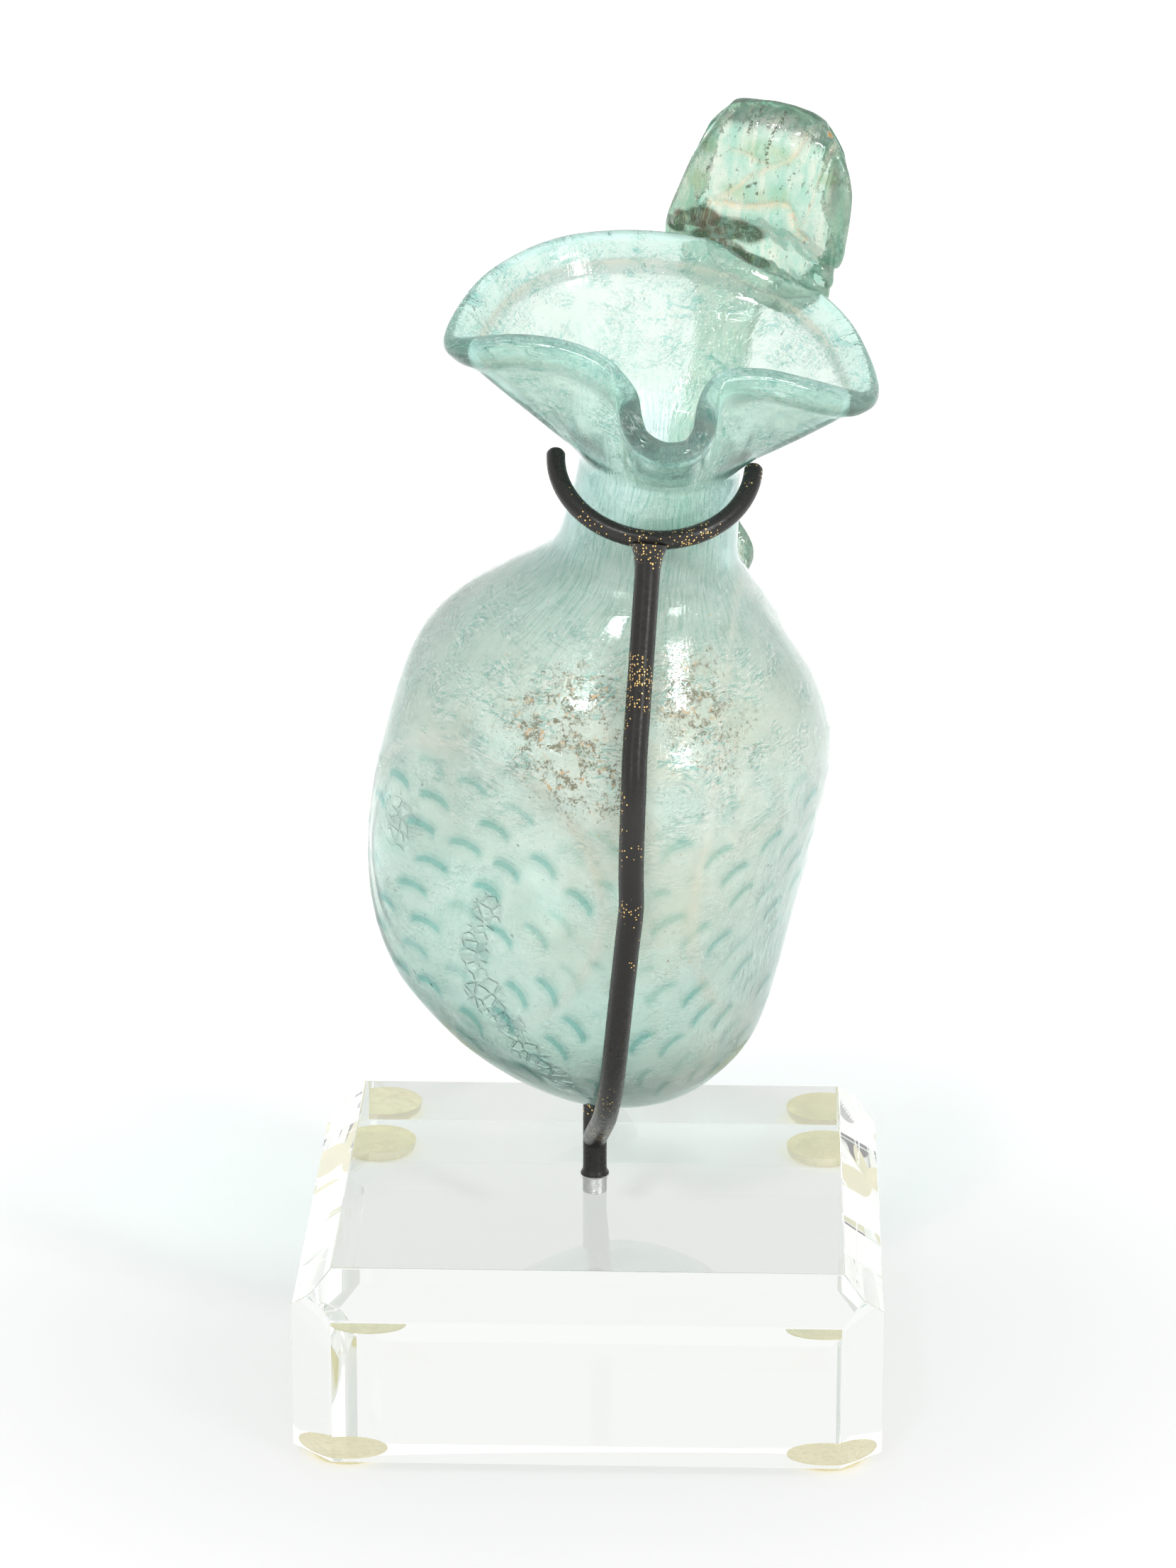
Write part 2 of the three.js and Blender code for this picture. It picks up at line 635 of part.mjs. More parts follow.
const jug = new THREE.Group();
jug.applyMatrix4(vesselMatrix);
jug.add(piece('vessel_body', vesselGeometry(), glass));
jug.add(piece('handle', handleGeometry(), handleGlass));

const part = new THREE.Group();
part.add(stand, mount, jug);

export default part;
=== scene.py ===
"""Ancient glass jug on its display mount: its visible pieces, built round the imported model."""

import math

import bmesh
import bpy
import numpy as np
from bpy.props import FloatProperty, FloatVectorProperty, IntProperty, PointerProperty
from mathutils import Matrix, Vector, noise


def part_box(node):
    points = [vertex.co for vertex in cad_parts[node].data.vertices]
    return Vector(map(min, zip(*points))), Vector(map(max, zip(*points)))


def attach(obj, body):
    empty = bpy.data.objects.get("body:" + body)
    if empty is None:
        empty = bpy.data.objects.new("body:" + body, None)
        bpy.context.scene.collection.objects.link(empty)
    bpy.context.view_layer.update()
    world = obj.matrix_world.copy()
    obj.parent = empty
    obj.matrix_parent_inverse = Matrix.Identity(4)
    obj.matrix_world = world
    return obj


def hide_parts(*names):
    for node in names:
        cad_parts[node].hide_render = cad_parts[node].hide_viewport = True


bl_info = {
    "name": "Glass jug on a display mount",
    "version": (1, 0, 0),
    "blender": (4, 5, 0),
    "location": "View3D > Sidebar > Jug",
    "description": "Builds the blown jug, its wire mount, its acrylic block and the studio round them",
    "category": "Object",
}

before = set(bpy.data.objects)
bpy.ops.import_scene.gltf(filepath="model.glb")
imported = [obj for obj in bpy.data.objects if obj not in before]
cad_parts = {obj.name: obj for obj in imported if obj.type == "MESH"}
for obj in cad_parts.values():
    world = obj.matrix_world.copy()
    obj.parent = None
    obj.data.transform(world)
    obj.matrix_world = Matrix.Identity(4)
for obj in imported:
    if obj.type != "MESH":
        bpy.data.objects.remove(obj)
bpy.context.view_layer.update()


# Sizes and colours


def length(name, description, default):
    return FloatProperty(name=name, description=description, default=default, unit="LENGTH", precision=5)


def angle(name, description, degrees):
    return FloatProperty(name=name, description=description, default=math.radians(degrees), unit="ROTATION")


def share(name, description, default):
    return FloatProperty(
        name=name, description=description, default=default, min=0.0, max=1.0, subtype="FACTOR")


def colour(name, description, default):
    return FloatVectorProperty(
        name=name, description=description, default=default, size=3, min=0.0, max=1.0, subtype="COLOR")


class JugSizes(bpy.types.PropertyGroup):
    """The blown jug, in its own frame: the foot at the origin, up along its own axis."""

    foot_place: FloatVectorProperty(
        name="Foot place", description="The middle of the jug's foot", default=(0.0005, 0.0044, 0.0385),
        size=3, subtype="TRANSLATION", unit="LENGTH")
    lean_right: angle("Lean right", "Sideways lean of the jug's axis", 4.5)
    lean_forward: angle("Lean forward", "Lean of the jug's axis towards the spout", 12)
    body_radius: length("Body radius", "Plain radius of the body without its dents", 0.0306)
    body_height: length("Body height", "Up to the root of the neck", 0.08)
    body_drift: length("Body drift", "Sideways bulge of the body off the neck's axis", -0.0042)
    dent_depth: length("Dent depth", "Depth of the deepest dent", 0.006)
    dent_height: length("Dent height", "Height of the dents' middles", 0.039)
    dent_reach: length("Dent reach", "From a dent's middle to its upper and lower end", 0.026)
    dent_turn: angle("Dent turn", "Place of the front dent, from the spout", -27)
    kick_depth: length("Kick depth", "Shallow hollow under the foot", 0.0009)
    neck_radius: length("Neck radius", "Radius at the top of the neck", 0.01)
    neck_length: length("Neck length", "From the shoulder to the flare", 0.0135)
    mouth_radius: length("Mouth radius", "From the axis to a side lobe's tip", 0.0265)
    mouth_lift: length("Mouth lift", "Side lobes above the neck", 0.0135)
    mouth_rise: length("Mouth rise", "The rim's back above the side lobes", 0.0059)
    mouth_slant: angle("Mouth slant", "The left side of the rim stands higher", 3.4)
    wall: length("Wall", "Thickness of the body", 0.0016)
    foot_wall: length("Foot wall", "Thickness of the foot", 0.0026)
    neck_wall: length("Neck wall", "Thickness of the neck", 0.0019)
    rim_bead: length("Rim bead", "Thickness of the folded rim", 0.003)
    bead_stand: length("Bead stand", "How far the folded rim stands out", 0.0008)
    scale_ridge: length("Scale ridge", "Height of the moulded scale ridges", 0.00006)
    dish_step: length("Dish step", "How deep the pressed dishes lie inside their borders", 0.00055)
    scale_row: length("Scale row", "From one row of scales to the next", 0.0047)
    scale_pitch: length("Scale pitch", "From one scale to the next in a row", 0.0084)
    wander: length("Wander", "Unevenness of the blown wall", 0.0001)
    columns: IntProperty(name="Columns", description="Upright lines of the jug's mesh", default=288, min=48)


class HandleSizes(bpy.types.PropertyGroup):
    """The trailed strap handle with its folded thumb rest."""

    turn: angle("Turn", "Place round the jug, from the spout", 158)
    strap_thickness: length("Strap thickness", "Thickness of the strap", 0.0034)
    thumb_width: length("Thumb width", "Width of the thumb rest", 0.022)
    thumb_rise: length("Thumb rise", "The fold's middle line above the side lobes", 0.023)
    thumb_shift: length("Thumb shift", "Sideways lean of the fold's front", 0.0036)
    thumb_twist: FloatProperty(
        name="Thumb twist", description="What the lean loses towards the back, per unit of reach",
        default=0.4)
    thumb_shift_rise: length("Thumb shift rise", "Height at which the fold has leant over", 0.02)
    lobe_dip: length("Lobe dip", "Of the fold's lower left corner, down to the rim", 0.005)
    lobe_start: length("Lobe start", "From the middle line to where the corner begins to dip", 0.002)
    lobe_spread: length("Lobe spread", "How far the dipping corner spreads sideways", 0.0013)
    root_dip: share("Root dip", "Dip of the fold's lower right corner, as a share of the left one's", 0.85)
    root_lean: length("Root lean", "How far that corner leans back into the root", 0.0014)
    grain_size: length("Grain size", "Facet size of the trailed glass", 0.00026)
    grip_stand: length("Grip stand", "The strap beyond the mouth", 0.0025)
    foot_drop: length("Foot drop", "The lower joint under the root of the neck", 0.003)
    sides: IntProperty(name="Sides", description="Points round the strap", default=96, min=16)
    rows: IntProperty(name="Rows", description="Rings along the strap", default=260, min=40)


class MountSizes(bpy.types.PropertyGroup):
    """The bent wire mount."""

    rod_diameter: length("Rod diameter", "Eighth inch rod", 0.003175)
    ring_wire: length("Ring wire", "Three thirty-seconds inch rod", 0.0024)
    ring_radius: length("Ring radius", "To the middle of the ring's wire", 0.0124)
    ring_half_arc: angle("Ring half arc", "From the ring's front to an open end", 91)
    ring_tilt: angle("Ring tilt", "Front down, against the neck's cross-section", 25)
    ring_height: length("Ring height", "Height of the ring's front on the jug", 0.088)
    stand: length("Stand", "Air between the wire and the glass", 0.0004)
    foot_x: length("Foot x", "Sideways place of the upright under the jug", 0.001)
    belly_x: length("Belly x", "Sideways place of the upright on the belly", 0.0056)
    braze_height: length("Braze height", "The upright's lower joint above the block", 0.0052)
    braze_spread: length("Braze spread", "How far a braze fillet stands out", 0.00075)
    braze_length: length("Braze length", "Length of a braze fillet", 0.0026)


class BlockSizes(bpy.types.PropertyGroup):
    """The bevelled block, its stud and its pads."""

    edge_bevel: length("Edge bevel", "Width of the bevel round the top", 0.0052)
    corner_cut: length("Corner cut", "Width of the cut on each upright corner", 0.0053)
    polish: length("Polish", "Width of the rounding that polishing leaves on an edge", 0.00018)
    thread_pitch: length("Thread pitch", "Pitch of the stud's thread", 0.0007)
    thread_depth: length("Thread depth", "Depth of the stud's thread", 0.00025)
    pad_round: length("Pad round", "Rounding of a pad's lower edge", 0.0011)


class Finishes(bpy.types.PropertyGroup):
    """Colours of the pieces, as they look in plain light."""

    glass_depth: colour("Glass depth", "Colour that the glass takes on in its depth", (0.13, 0.66, 0.6))
    glass_face: colour("Glass face", "Tint of the glass at its surface", (0.935, 0.915, 0.88))
    glass_thick: colour("Thick glass", "Tint at the surface where the glass is thick", (0.985, 0.98, 0.965))
    glass_light: colour("Glass light", "Lamp light that has passed a wall of glass", (0.93, 0.97, 0.96))
    ridge: colour("Ridge", "Teal of the scale ridges and scratches", (0.16, 0.48, 0.44))
    lip: colour("Lip", "Teal of the thick glass in the lips", (0.5, 0.88, 0.82))
    mouth: colour("Mouth", "Tint of the mouth", (0.86, 0.89, 0.85))
    mouth_back: colour("Mouth back", "Tint of the mouth's back wall", (0.81, 0.81, 0.76))
    dish_border: colour("Dish border", "Cream line round a pressed dish", (0.86, 0.76, 0.6))
    frost: colour("Frost", "Weathered milky skin", (0.7, 0.78, 0.71))
    film: colour("Film", "Dry beige film on the belly", (0.8, 0.76, 0.6))
    soil: colour("Soil", "Brown burial soil in the pits", (0.14, 0.13, 0.06))
    rust: colour("Rust", "Orange grains in the soil", (0.56, 0.34, 0.14))
    froth: colour("Froth", "Outlines of the froth on the inside", (0.36, 0.46, 0.45))
    froth_veil: colour("Froth veil", "Grey between the froth's cells", (0.5, 0.58, 0.56))
    seam: colour("Seam", "Cream dirt in the folds", (0.92, 0.73, 0.5))
    moss: colour("Moss", "Dark green dirt in the strap's streaks", (0.05, 0.07, 0.03))
    strap_deep: colour("Strap deep", "Teal streaks of the handle", (0.4, 0.64, 0.54))
    strap_pale: colour("Strap pale", "Pale streaks of the handle", (0.8, 0.78, 0.69))
    strap_haze: colour("Strap haze", "Weathered skin of the handle", (0.84, 0.87, 0.78))
    strap_depth: colour("Strap depth", "Colour that the handle takes on in its depth", (0.4, 0.68, 0.56))
    strap_green: colour("Strap green", "Moss green streaks of the handle", (0.34, 0.46, 0.24))
    flute: colour("Flute", "Teal of the flutes under the thumb rest", (0.24, 0.58, 0.5))
    murk_green: colour("Murk green", "Dark green of the murk by the rim", (0.03, 0.06, 0.02))
    murk_brown: colour("Murk brown", "Dark brown of the murk by the rim", (0.1, 0.05, 0.02))
    murk_streak: colour("Murk streak", "Paler streaks in the murk", (0.3, 0.4, 0.2))
    amber: colour("Amber", "Iron stain at the thumb rest's top", (0.5, 0.27, 0.07))
    paint: colour("Paint", "Brown-black paint of the wire", (0.009, 0.0083, 0.0072))
    brass: colour("Brass", "Bare brass where the paint is worn", (0.86, 0.58, 0.22))
    acrylic: colour("Acrylic", "Clear cast acrylic", (0.948, 0.953, 0.94))
    acrylic_stain: colour("Acrylic stain", "Faint stains on the block", (0.86, 0.83, 0.7))
    acrylic_depth: colour("Acrylic depth", "Colour that the block takes on in its depth", (0.4, 0.6, 0.3))
    acrylic_light: colour("Acrylic light", "Light that has passed a face of the block", (0.922, 0.927, 0.917))
    steel: colour("Steel", "Threaded stud", (0.62, 0.63, 0.62))
    rubber: colour("Rubber", "Yellowed clear pads", (1, 0.92, 0.6))
    rubber_light: colour("Rubber light", "Lamp light that has passed a pad", (0.97, 0.93, 0.76))
    floor: colour("Floor", "Paper sweep", (0.9, 0.9, 0.9))


class StageSettings(bpy.types.PropertyGroup):
    """Camera, lamps and floor."""

    lens: FloatProperty(name="Lens", description="Focal length in millimetres", default=130.2, unit="CAMERA")
    place: FloatVectorProperty(
        name="Camera place", description="Where the camera stands", default=(0.0201, -0.7018, 0.3149),
        size=3, subtype="TRANSLATION", unit="LENGTH")
    yaw: angle("Yaw", "Turn of the view to the right", -1.72)
    pitch: angle("Pitch", "Turn of the view downwards", 18.41)
    roll: angle("Roll", "Turn of the view about its own axis", -0.07)
    floor_size: length("Floor size", "Side of the floor", 12)


# Curves


def smoothstep(x, low, high):
    t = np.clip((x - low) / (high - low), 0, 1)
    return t * t * (3 - 2 * t)


def mix(a, b, t):
    return a + (b - a) * t


def plain_spline(points, t):
    """A uniform Catmull-Rom curve through points, at t from 0 to 1."""
    p = np.asarray(points, float)
    last = len(p) - 1
    where = np.clip(np.asarray(t, float), 0, 1) * last
    i = np.minimum(where.astype(int), last - 1)
    w = (where - i)[..., None]
    p0, p1, p2, p3 = p[np.maximum(i - 1, 0)], p[i], p[i + 1], p[np.minimum(i + 2, last)]
    v0, v1 = (p2 - p0) / 2, (p3 - p1) / 2
    return (2 * p1 - 2 * p2 + v0 + v1) * w**3 + (3 * p2 - 3 * p1 - 2 * v0 - v1) * w**2 + v0 * w + p1


def even_spline(points, t, closed=False):
    """A centripetal Catmull-Rom curve through points, at t from 0 to 1."""
    p = np.asarray(points, float)
    n = len(p)
    where = np.asarray(t, float) * (n if closed else n - 1)
    i = np.floor(where).astype(int)
    if closed:
        w = (where - i)[..., None]
        p0, p1, p2, p3 = (p[(i + k) % n] for k in (-1, 0, 1, 2))
    else:
        i = np.clip(i, 0, n - 2)
        w = (where - i)[..., None]
        q = np.vstack([2 * p[0] - p[1], p, 2 * p[-1] - p[-2]])
        p0, p1, p2, p3 = q[i], q[i + 1], q[i + 2], q[i + 3]
    pairs = (p0, p1), (p1, p2), (p2, p3)
    d0, d1, d2 = (np.sqrt(np.linalg.norm(b - a, axis=-1))[..., None] for a, b in pairs)
    t1 = ((p1 - p0) / d0 - (p2 - p0) / (d0 + d1) + (p2 - p1) / d1) * d1
    t2 = ((p2 - p1) / d1 - (p3 - p1) / (d1 + d2) + (p3 - p2) / d2) * d1
    return p1 + t1 * w + (3 * p2 - 3 * p1 - 2 * t1 - t2) * w**2 + (2 * p1 - 2 * p2 + t1 + t2) * w**3


def even_shares(points, count, weight=None):
    """Shares along a finely sampled line at which count points stand evenly, by length."""
    step = np.linalg.norm(np.diff(points, axis=0), axis=1)
    if weight is not None:
        step = step * weight
    run = np.concatenate([[0], np.cumsum(step)])
    return np.interp(np.linspace(0, run[-1], count), run, np.linspace(0, 1, len(points)))


def unevenness(points, size, seed):
    """Smooth noise from -1 to 1 with features of about this size."""
    shift = Vector((seed * 7.1, seed * 3.3, seed * 5.7))
    flat = points.reshape(-1, 3) / size
    return np.array([noise.noise(Vector(p) + shift) for p in flat]).reshape(points.shape[:-1])


# The jug's surface


# The jug's line from foot to shoulder: radius and height as shares of the body's.
PROFILE_SHARES = [
    (0.105, 0.002), (0.235, 0.015), (0.43, 0.05), (0.585, 0.1), (0.72, 0.1625), (0.845, 0.25),
    (0.925, 0.35), (0.975, 0.4625), (0.985, 0.575), (0.96, 0.675), (0.885, 0.7625),
    (0.755, 0.8375), (0.603, 0.9), (0.475, 0.95), (0.385, 1),
]

# How far the point above the shoulder has come to the neck's radius and to its top.
NECK_BEND_SHARES = (0.6, 0.45)

# The dents' depths as shares of the deepest, from the front one round to the right.
DENT_SHARES = np.array([1, 0.35, 0.85, 0.95])

# Sideways bulge of the body as a share of its greatest, at a share of the body's height.
DRIFT_SHARES = np.array([
    (0, -0.4), (0.1, 0.05), (0.25, 0.84), (0.46, 0.94), (0.675, 0.62), (0.84, 0.66), (0.975, 0.05),
    (1.2, -0.2)])

# The mouth's edge from the spout over the right and the back: across and towards the spout as
# shares of the mouth's radius, height above the side lobes as a share of the rise, and the
# wall's outward bow below the edge as a share of the mouth's radius.
RIM_SHARES = [
    (0.015, 0.691, -0.773, 0.02), (0.159, 0.649, -0.7, 0.02), (0.229, 0.518, -0.476, 0.03),
    (0.243, 0.402, -0.159, 0.05), (0.282, 0.3, 0.223, 0.1), (0.437, 0.232, 0.276, 0.12),
    (0.681, 0.187, 0.047, 0.085), (0.922, 0.101, -0.286, 0.05), (0.984, -0.028, -0.376, 0.035),
    (0.947, -0.286, -0.197, 0.015), (0.822, -0.581, 0.088, 0), (0.499, -0.84, 0.498, 0),
    (0, -0.928, 0.683, 0), (-0.501, -0.837, 0.455, 0), (-0.818, -0.577, 0.042, 0),
    (-0.953, -0.284, -0.268, 0.015), (-0.997, -0.027, -0.463, 0.035), (-0.931, 0.099, -0.259, 0.05),
    (-0.693, 0.183, 0.171, 0.085), (-0.442, 0.235, 0.284, 0.12), (-0.277, 0.304, 0.169, 0.1),
    (-0.192, 0.396, -0.132, 0.05), (-0.166, 0.511, -0.384, 0.03), (-0.115, 0.641, -0.611, 0.02),
]

# How far the jug's columns stand evenly by turn, and the rest of it by length along the rim.
BY_TURN_SHARE = 0.8

# Where the foot's wall has thinned and the neck's begins, as shares of the body's height, then
# where the flare is thin and where its fold begins and is full, as shares of the flare.
FOOT_END_SHARE, NECK_START_SHARE = 0.25, 0.85
FLARE_THIN_SHARE, FOLD_START_SHARE, FOLD_FULL_SHARE = 0.6, 0.78, 0.95


class JugShape:
    """The outer surface of the jug, as its named sizes give it."""

    def __init__(self, s):
        self.s = s
        self.neck_top = s.body_height + s.neck_length
        self.mouth_height = self.neck_top + s.mouth_lift
        line = [(r * s.body_radius, h * s.body_height) for r, h in PROFILE_SHARES]
        line.append((mix(line[-1][0], s.neck_radius, NECK_BEND_SHARES[0]),
                     mix(s.body_height, self.neck_top, NECK_BEND_SHARES[1])))
        line.append((s.neck_radius, self.neck_top))
        self.line = line
        self.rim = np.array([self.rim_point(row) for row in RIM_SHARES])
        self.bows = np.array([row[3] for row in RIM_SHARES])
        turn_right = Matrix.Rotation(s.lean_right, 4, "Y")
        turn_forward = Matrix.Rotation(s.lean_forward, 4, "X")
        self.matrix = Matrix.Translation(s.foot_place) @ turn_forward @ turn_right

    def rim_point(self, row):
        across, forward, rise, _ = row
        x = across * self.s.mouth_radius
        height = self.mouth_height + rise * self.s.mouth_rise - x * math.tan(self.s.mouth_slant)
        return x, -forward * self.s.mouth_radius, height

    def drift(self, height):
        where = height / self.s.body_height
        last = len(DRIFT_SHARES) - 1
        span = np.clip(np.searchsorted(DRIFT_SHARES[:, 0], where, side="right") - 1, 0, last - 1)
        low, high = DRIFT_SHARES[span, 0], DRIFT_SHARES[span + 1, 0]
        within = np.clip((where - low) / (high - low), 0, 1)
        return self.s.body_drift * plain_spline(DRIFT_SHARES, (span + within) / last)[..., 1]

    def dent(self, turn, height):
        place = (turn - self.s.dent_turn) * len(DENT_SHARES) / (2 * math.pi)
        nearest = np.round(place)
        across = np.cos((place - nearest) * math.pi) ** 2
        along = np.clip(1 - ((height - self.s.dent_height) / self.s.dent_reach) ** 2, 0, None) ** 1.5
        return self.s.dent_depth * DENT_SHARES[nearest.astype(int) % len(DENT_SHARES)] * across * along

    def body_point(self, along, turn):
        plain = plain_spline(self.line, along)
        radius, height = plain[..., 0], plain[..., 1]
        radius = radius - self.dent(turn, height)
        return np.stack([radius * np.sin(turn) + self.drift(height), -radius * np.cos(turn),
                         height + 0 * turn], -1)

    def columns(self, count):
        """Places along the rim at which the columns stand, and their turns from the spout."""
        fine = np.linspace(0, 1, 4001)
        points = even_spline(self.rim, fine, closed=True)
        turn = np.unwrap(np.arctan2(points[:, 0], -points[:, 1]))
        run = np.concatenate([[0], np.cumsum(np.linalg.norm(np.diff(points, axis=0), axis=1))])
        order = mix(run / run[-1], (turn - turn[0]) / (2 * math.pi), BY_TURN_SHARE)
        places = np.interp(np.arange(count) / count, order, fine)
        return places, np.interp(places, fine, turn)

    def edge(self, places, passes=5, reach=0.011):
        """The rim's edge, its corners eased as the soft glass eased them."""
        offsets = np.linspace(-reach, reach, 2 * passes + 1)
        weights = np.exp(-2 * (offsets / reach) ** 2)
        points = sum(w * even_spline(self.rim, (places + o) % 1, closed=True)
                     for o, w in zip(offsets, weights))
        return points / weights.sum()

    def outer_rows(self, count, body_shares, flare_shares):
        """Rows of points from the foot to the rim's edge, before the fold stands out."""
        places, turn = self.columns(count)
        body = self.body_point(body_shares[:, None], turn[None, :] + 0 * body_shares[:, None])
        edge = self.edge(places)
        span = np.floor(places * len(self.rim)).astype(int)
        within = places * len(self.rim) - span
        bow = mix(self.bows[span % len(self.rim)], self.bows[(span + 1) % len(self.rim)], within)
        root = body[-1]
        outward = np.stack([np.sin(turn), -np.cos(turn), 0 * turn], -1)
        bend = (root + edge) / 2 + outward * (bow * self.s.mouth_radius)[:, None]
        t = flare_shares[:, None, None]
        flare = (1 - t) ** 2 * root + 2 * t * (1 - t) * bend + t**2 * edge
        return np.concatenate([body, flare]), turn

    def fold(self, flare):
        return smoothstep(flare, FOLD_START_SHARE, FOLD_FULL_SHARE)

    def thickness(self, height, flare):
        s = self.s
        part = height / s.body_height
        shaft = mix(s.foot_wall, s.wall, smoothstep(part, 0, FOOT_END_SHARE))
        shaft = mix(shaft, s.neck_wall, smoothstep(part, NECK_START_SHARE, 1))
        return mix(mix(shaft, s.wall, smoothstep(flare, 0, FLARE_THIN_SHARE)), s.rim_bead, self.fold(flare))


def outward_directions(rows):
    """Unit outward direction at each point of a grid of rows, closed round its columns."""
    up = np.empty_like(rows)
    up[1:-1] = rows[2:] - rows[:-2]
    up[0], up[-1] = rows[1] - rows[0], rows[-1] - rows[-2]
    along = np.roll(rows, -1, axis=1) - np.roll(rows, 1, axis=1)
    out = np.cross(along, up)
    return out / np.linalg.norm(out, axis=-1, keepdims=True)


def skin_mesh(name, rows, first_pole, last_pole, values, vectors):
    """A closed skin over rows of points, with a single point at each end and values on its points."""
    count = rows.shape[1]
    points = np.vstack([[first_pole], rows.reshape(-1, 3), [last_pole]])
    at = 1 + np.arange(rows.shape[0] * count).reshape(rows.shape[0], count)
    after = np.roll(at, -1, axis=1)
    quads = np.stack([at[:-1], after[:-1], after[1:], at[1:]], -1).reshape(-1, 4)
    last = len(points) - 1
    faces = [(0, int(b), int(a)) for a, b in zip(at[0], after[0])]
    faces += [tuple(int(i) for i in q) for q in quads]
    faces += [(last, int(a), int(b)) for a, b in zip(at[-1], after[-1])]
    mesh = bpy.data.meshes.new(name)
    mesh.from_pydata([tuple(p) for p in points], [], faces)
    mesh.validate()
    for key, grid in values.items():
        layer = mesh.attributes.new(key, "FLOAT", "POINT")
        layer.data.foreach_set("value", np.concatenate([[grid[0].mean()], grid.ravel(), [grid[-1].mean()]]))
    for key, grid in vectors.items():
        layer = mesh.attributes.new(key, "FLOAT_VECTOR", "POINT")
        ends = grid.reshape(grid.shape[0], count, 3).mean(axis=1)
        layer.data.foreach_set("vector", np.vstack([[ends[0]], grid.reshape(-1, 3), [ends[-1]]]).ravel())
    piece = bpy.data.objects.new(name, mesh)
    bpy.context.scene.collection.objects.link(piece)
    mesh.shade_smooth()
    return piece


# Weathering


# Where soil, dry film and froth sit on the jug: turn in degrees, height, half width and half
# height in millimetres, and strength.
SOIL = [
    (-15, 67, 9, 6, 1.2), (-8, 61, 8, 6, 1.1), (27, 69, 7, 6, 1.1), (36, 64, 9, 6, 0.7),
    (34, 60, 12, 6, 0.45), (9, 56, 15, 9, 0.3), (-30, 72, 12, 5, 0.4), (20, 44, 14, 10, 0.2),
    (170, 60, 22, 14, 0.6), (-120, 66, 18, 10, 0.5), (95, 50, 16, 12, 0.4),
]
FILM = [
    (22, 60, 22, 16, 1.0), (12, 44, 16, 16, 0.8), (-20, 66, 16, 7, 0.7), (36, 40, 9, 14, 0.6),
    (-42, 60, 12, 3.5, 0.7), (48, 14, 12, 9, 0.9), (20, 14, 10, 5, 0.5), (150, 55, 26, 18, 0.7),
    (-130, 50, 20, 16, 0.6),
]
FROTH = [
    (-33, 36, 2, 3, 1.2), (-36, 30, 2, 4, 1.2), (-32, 24, 3, 3, 1.2), (-24, 21, 3, 2, 1.1),
    (-18, 17, 3, 2.5, 1.1), (-12, 12, 2.5, 3.5, 1.1), (8, 30, 4, 6, 0.4), (-62, 45, 5, 7, 0.6),
    (140, 32, 6, 8, 0.6), (-140, 28, 6, 6, 0.5),
]
MM = 0.001

# The pressed dishes: turn in degrees and height of their middles, half width and half height in
# millimetres. Then the body's radius there, the shares of a dish's size over which its step runs,
# the half width of its border as such a share, and the heights between which it fades at the foot.
DISHES = [(-39, 40, 20.5, 20.5), (75, 48, 24.5, 30), (198, 42, 20, 24)]
DISH_GIRTH = 0.028
DISH_STEP_SHARES = (0.9, 1.06)
DISH_BORDER_SHARE = 0.035
DISH_FADE = (0.014, 0.034)


def turn_from(turn, degrees):
    """Each point's turn from a place given in degrees, from minus to plus half a turn."""
    return (turn - math.radians(degrees) + math.pi) % (2 * math.pi) - math.pi


def dishes(turn, height):
    """How far each point lies inside a pressed dish, and the line of the borders."""
    inside, border = np.zeros_like(turn), np.zeros_like(turn)
    for degrees, middle, half_width, half_height in DISHES:
        across = turn_from(turn, degrees) * DISH_GIRTH
        away = np.hypot(across / (half_width * MM), (height - middle * MM) / (half_height * MM))
        seen = smoothstep(height, *DISH_FADE)
        inside = np.maximum(inside, (1 - smoothstep(away, *DISH_STEP_SHARES)) * seen)
        border = np.maximum(border, np.exp(-((away - 1) / DISH_BORDER_SHARE) ** 2) * seen)
    return inside, border


def patches(table, turn, height, radius):
    """Soft patches laid over the body, as the strongest of them at each point."""
    total = np.zeros_like(turn)
    for degrees, middle, half_width, half_height, strength in table:
        across = turn_from(turn, degrees) * radius / (half_width * MM)
        away = across ** 2 + ((height - middle * MM) / (half_height * MM)) ** 2
        total = np.maximum(total, strength * np.exp(-0.9 * away))
    return total


# The moulded scales stand in fields round the body: turn in degrees and height in millimetres of
# the point that each field's rows bend round. Half a scale's length is a share of the pitch, its
# bow and its line's half width shares of the row, its ends shares of its half length, and the
# girth a share of the body's radius. They fade near the next field over a distance, and at the
# foot and the shoulder over shares of the body's height.
SCALE_FIELDS = [(-57, 0), (76, 0), (198, 0)]
SCALE_HALF_SHARE = 0.29
SCALE_BOW_SHARE = 0.16
SCALE_LINE_SHARE = 0.13
SCALE_END_SHARES = (0.7, 1.25)
SCALE_GIRTH_SHARE = 0.94
SCALE_GAP = (0.001, 0.004)
SCALE_LOW_SHARES = (0.06, 0.16)
SCALE_HIGH_SHARES = (0.6, 0.76)

# Rows in a field and scales in a row that get a strength and a slip of their own.
SCALE_ROWS, SCALES_IN_ROW = 24, 64


def field_places(s, turn, height):
    """Each point's field of scales, its place in that field and its distance from the next."""
    around = s.body_radius * SCALE_GIRTH_SHARE
    offsets = np.stack([turn_from(turn, degrees) for degrees, _ in SCALE_FIELDS])
    order = np.sort(np.abs(offsets), axis=0)
    field = np.argmin(np.abs(offsets), axis=0)
    across = np.take_along_axis(offsets, field[None], axis=0)[0] * around
    low = np.array([middle for _, middle in SCALE_FIELDS])[field] * MM
    return field, across, height - low, (order[1] - order[0]) * around / 2


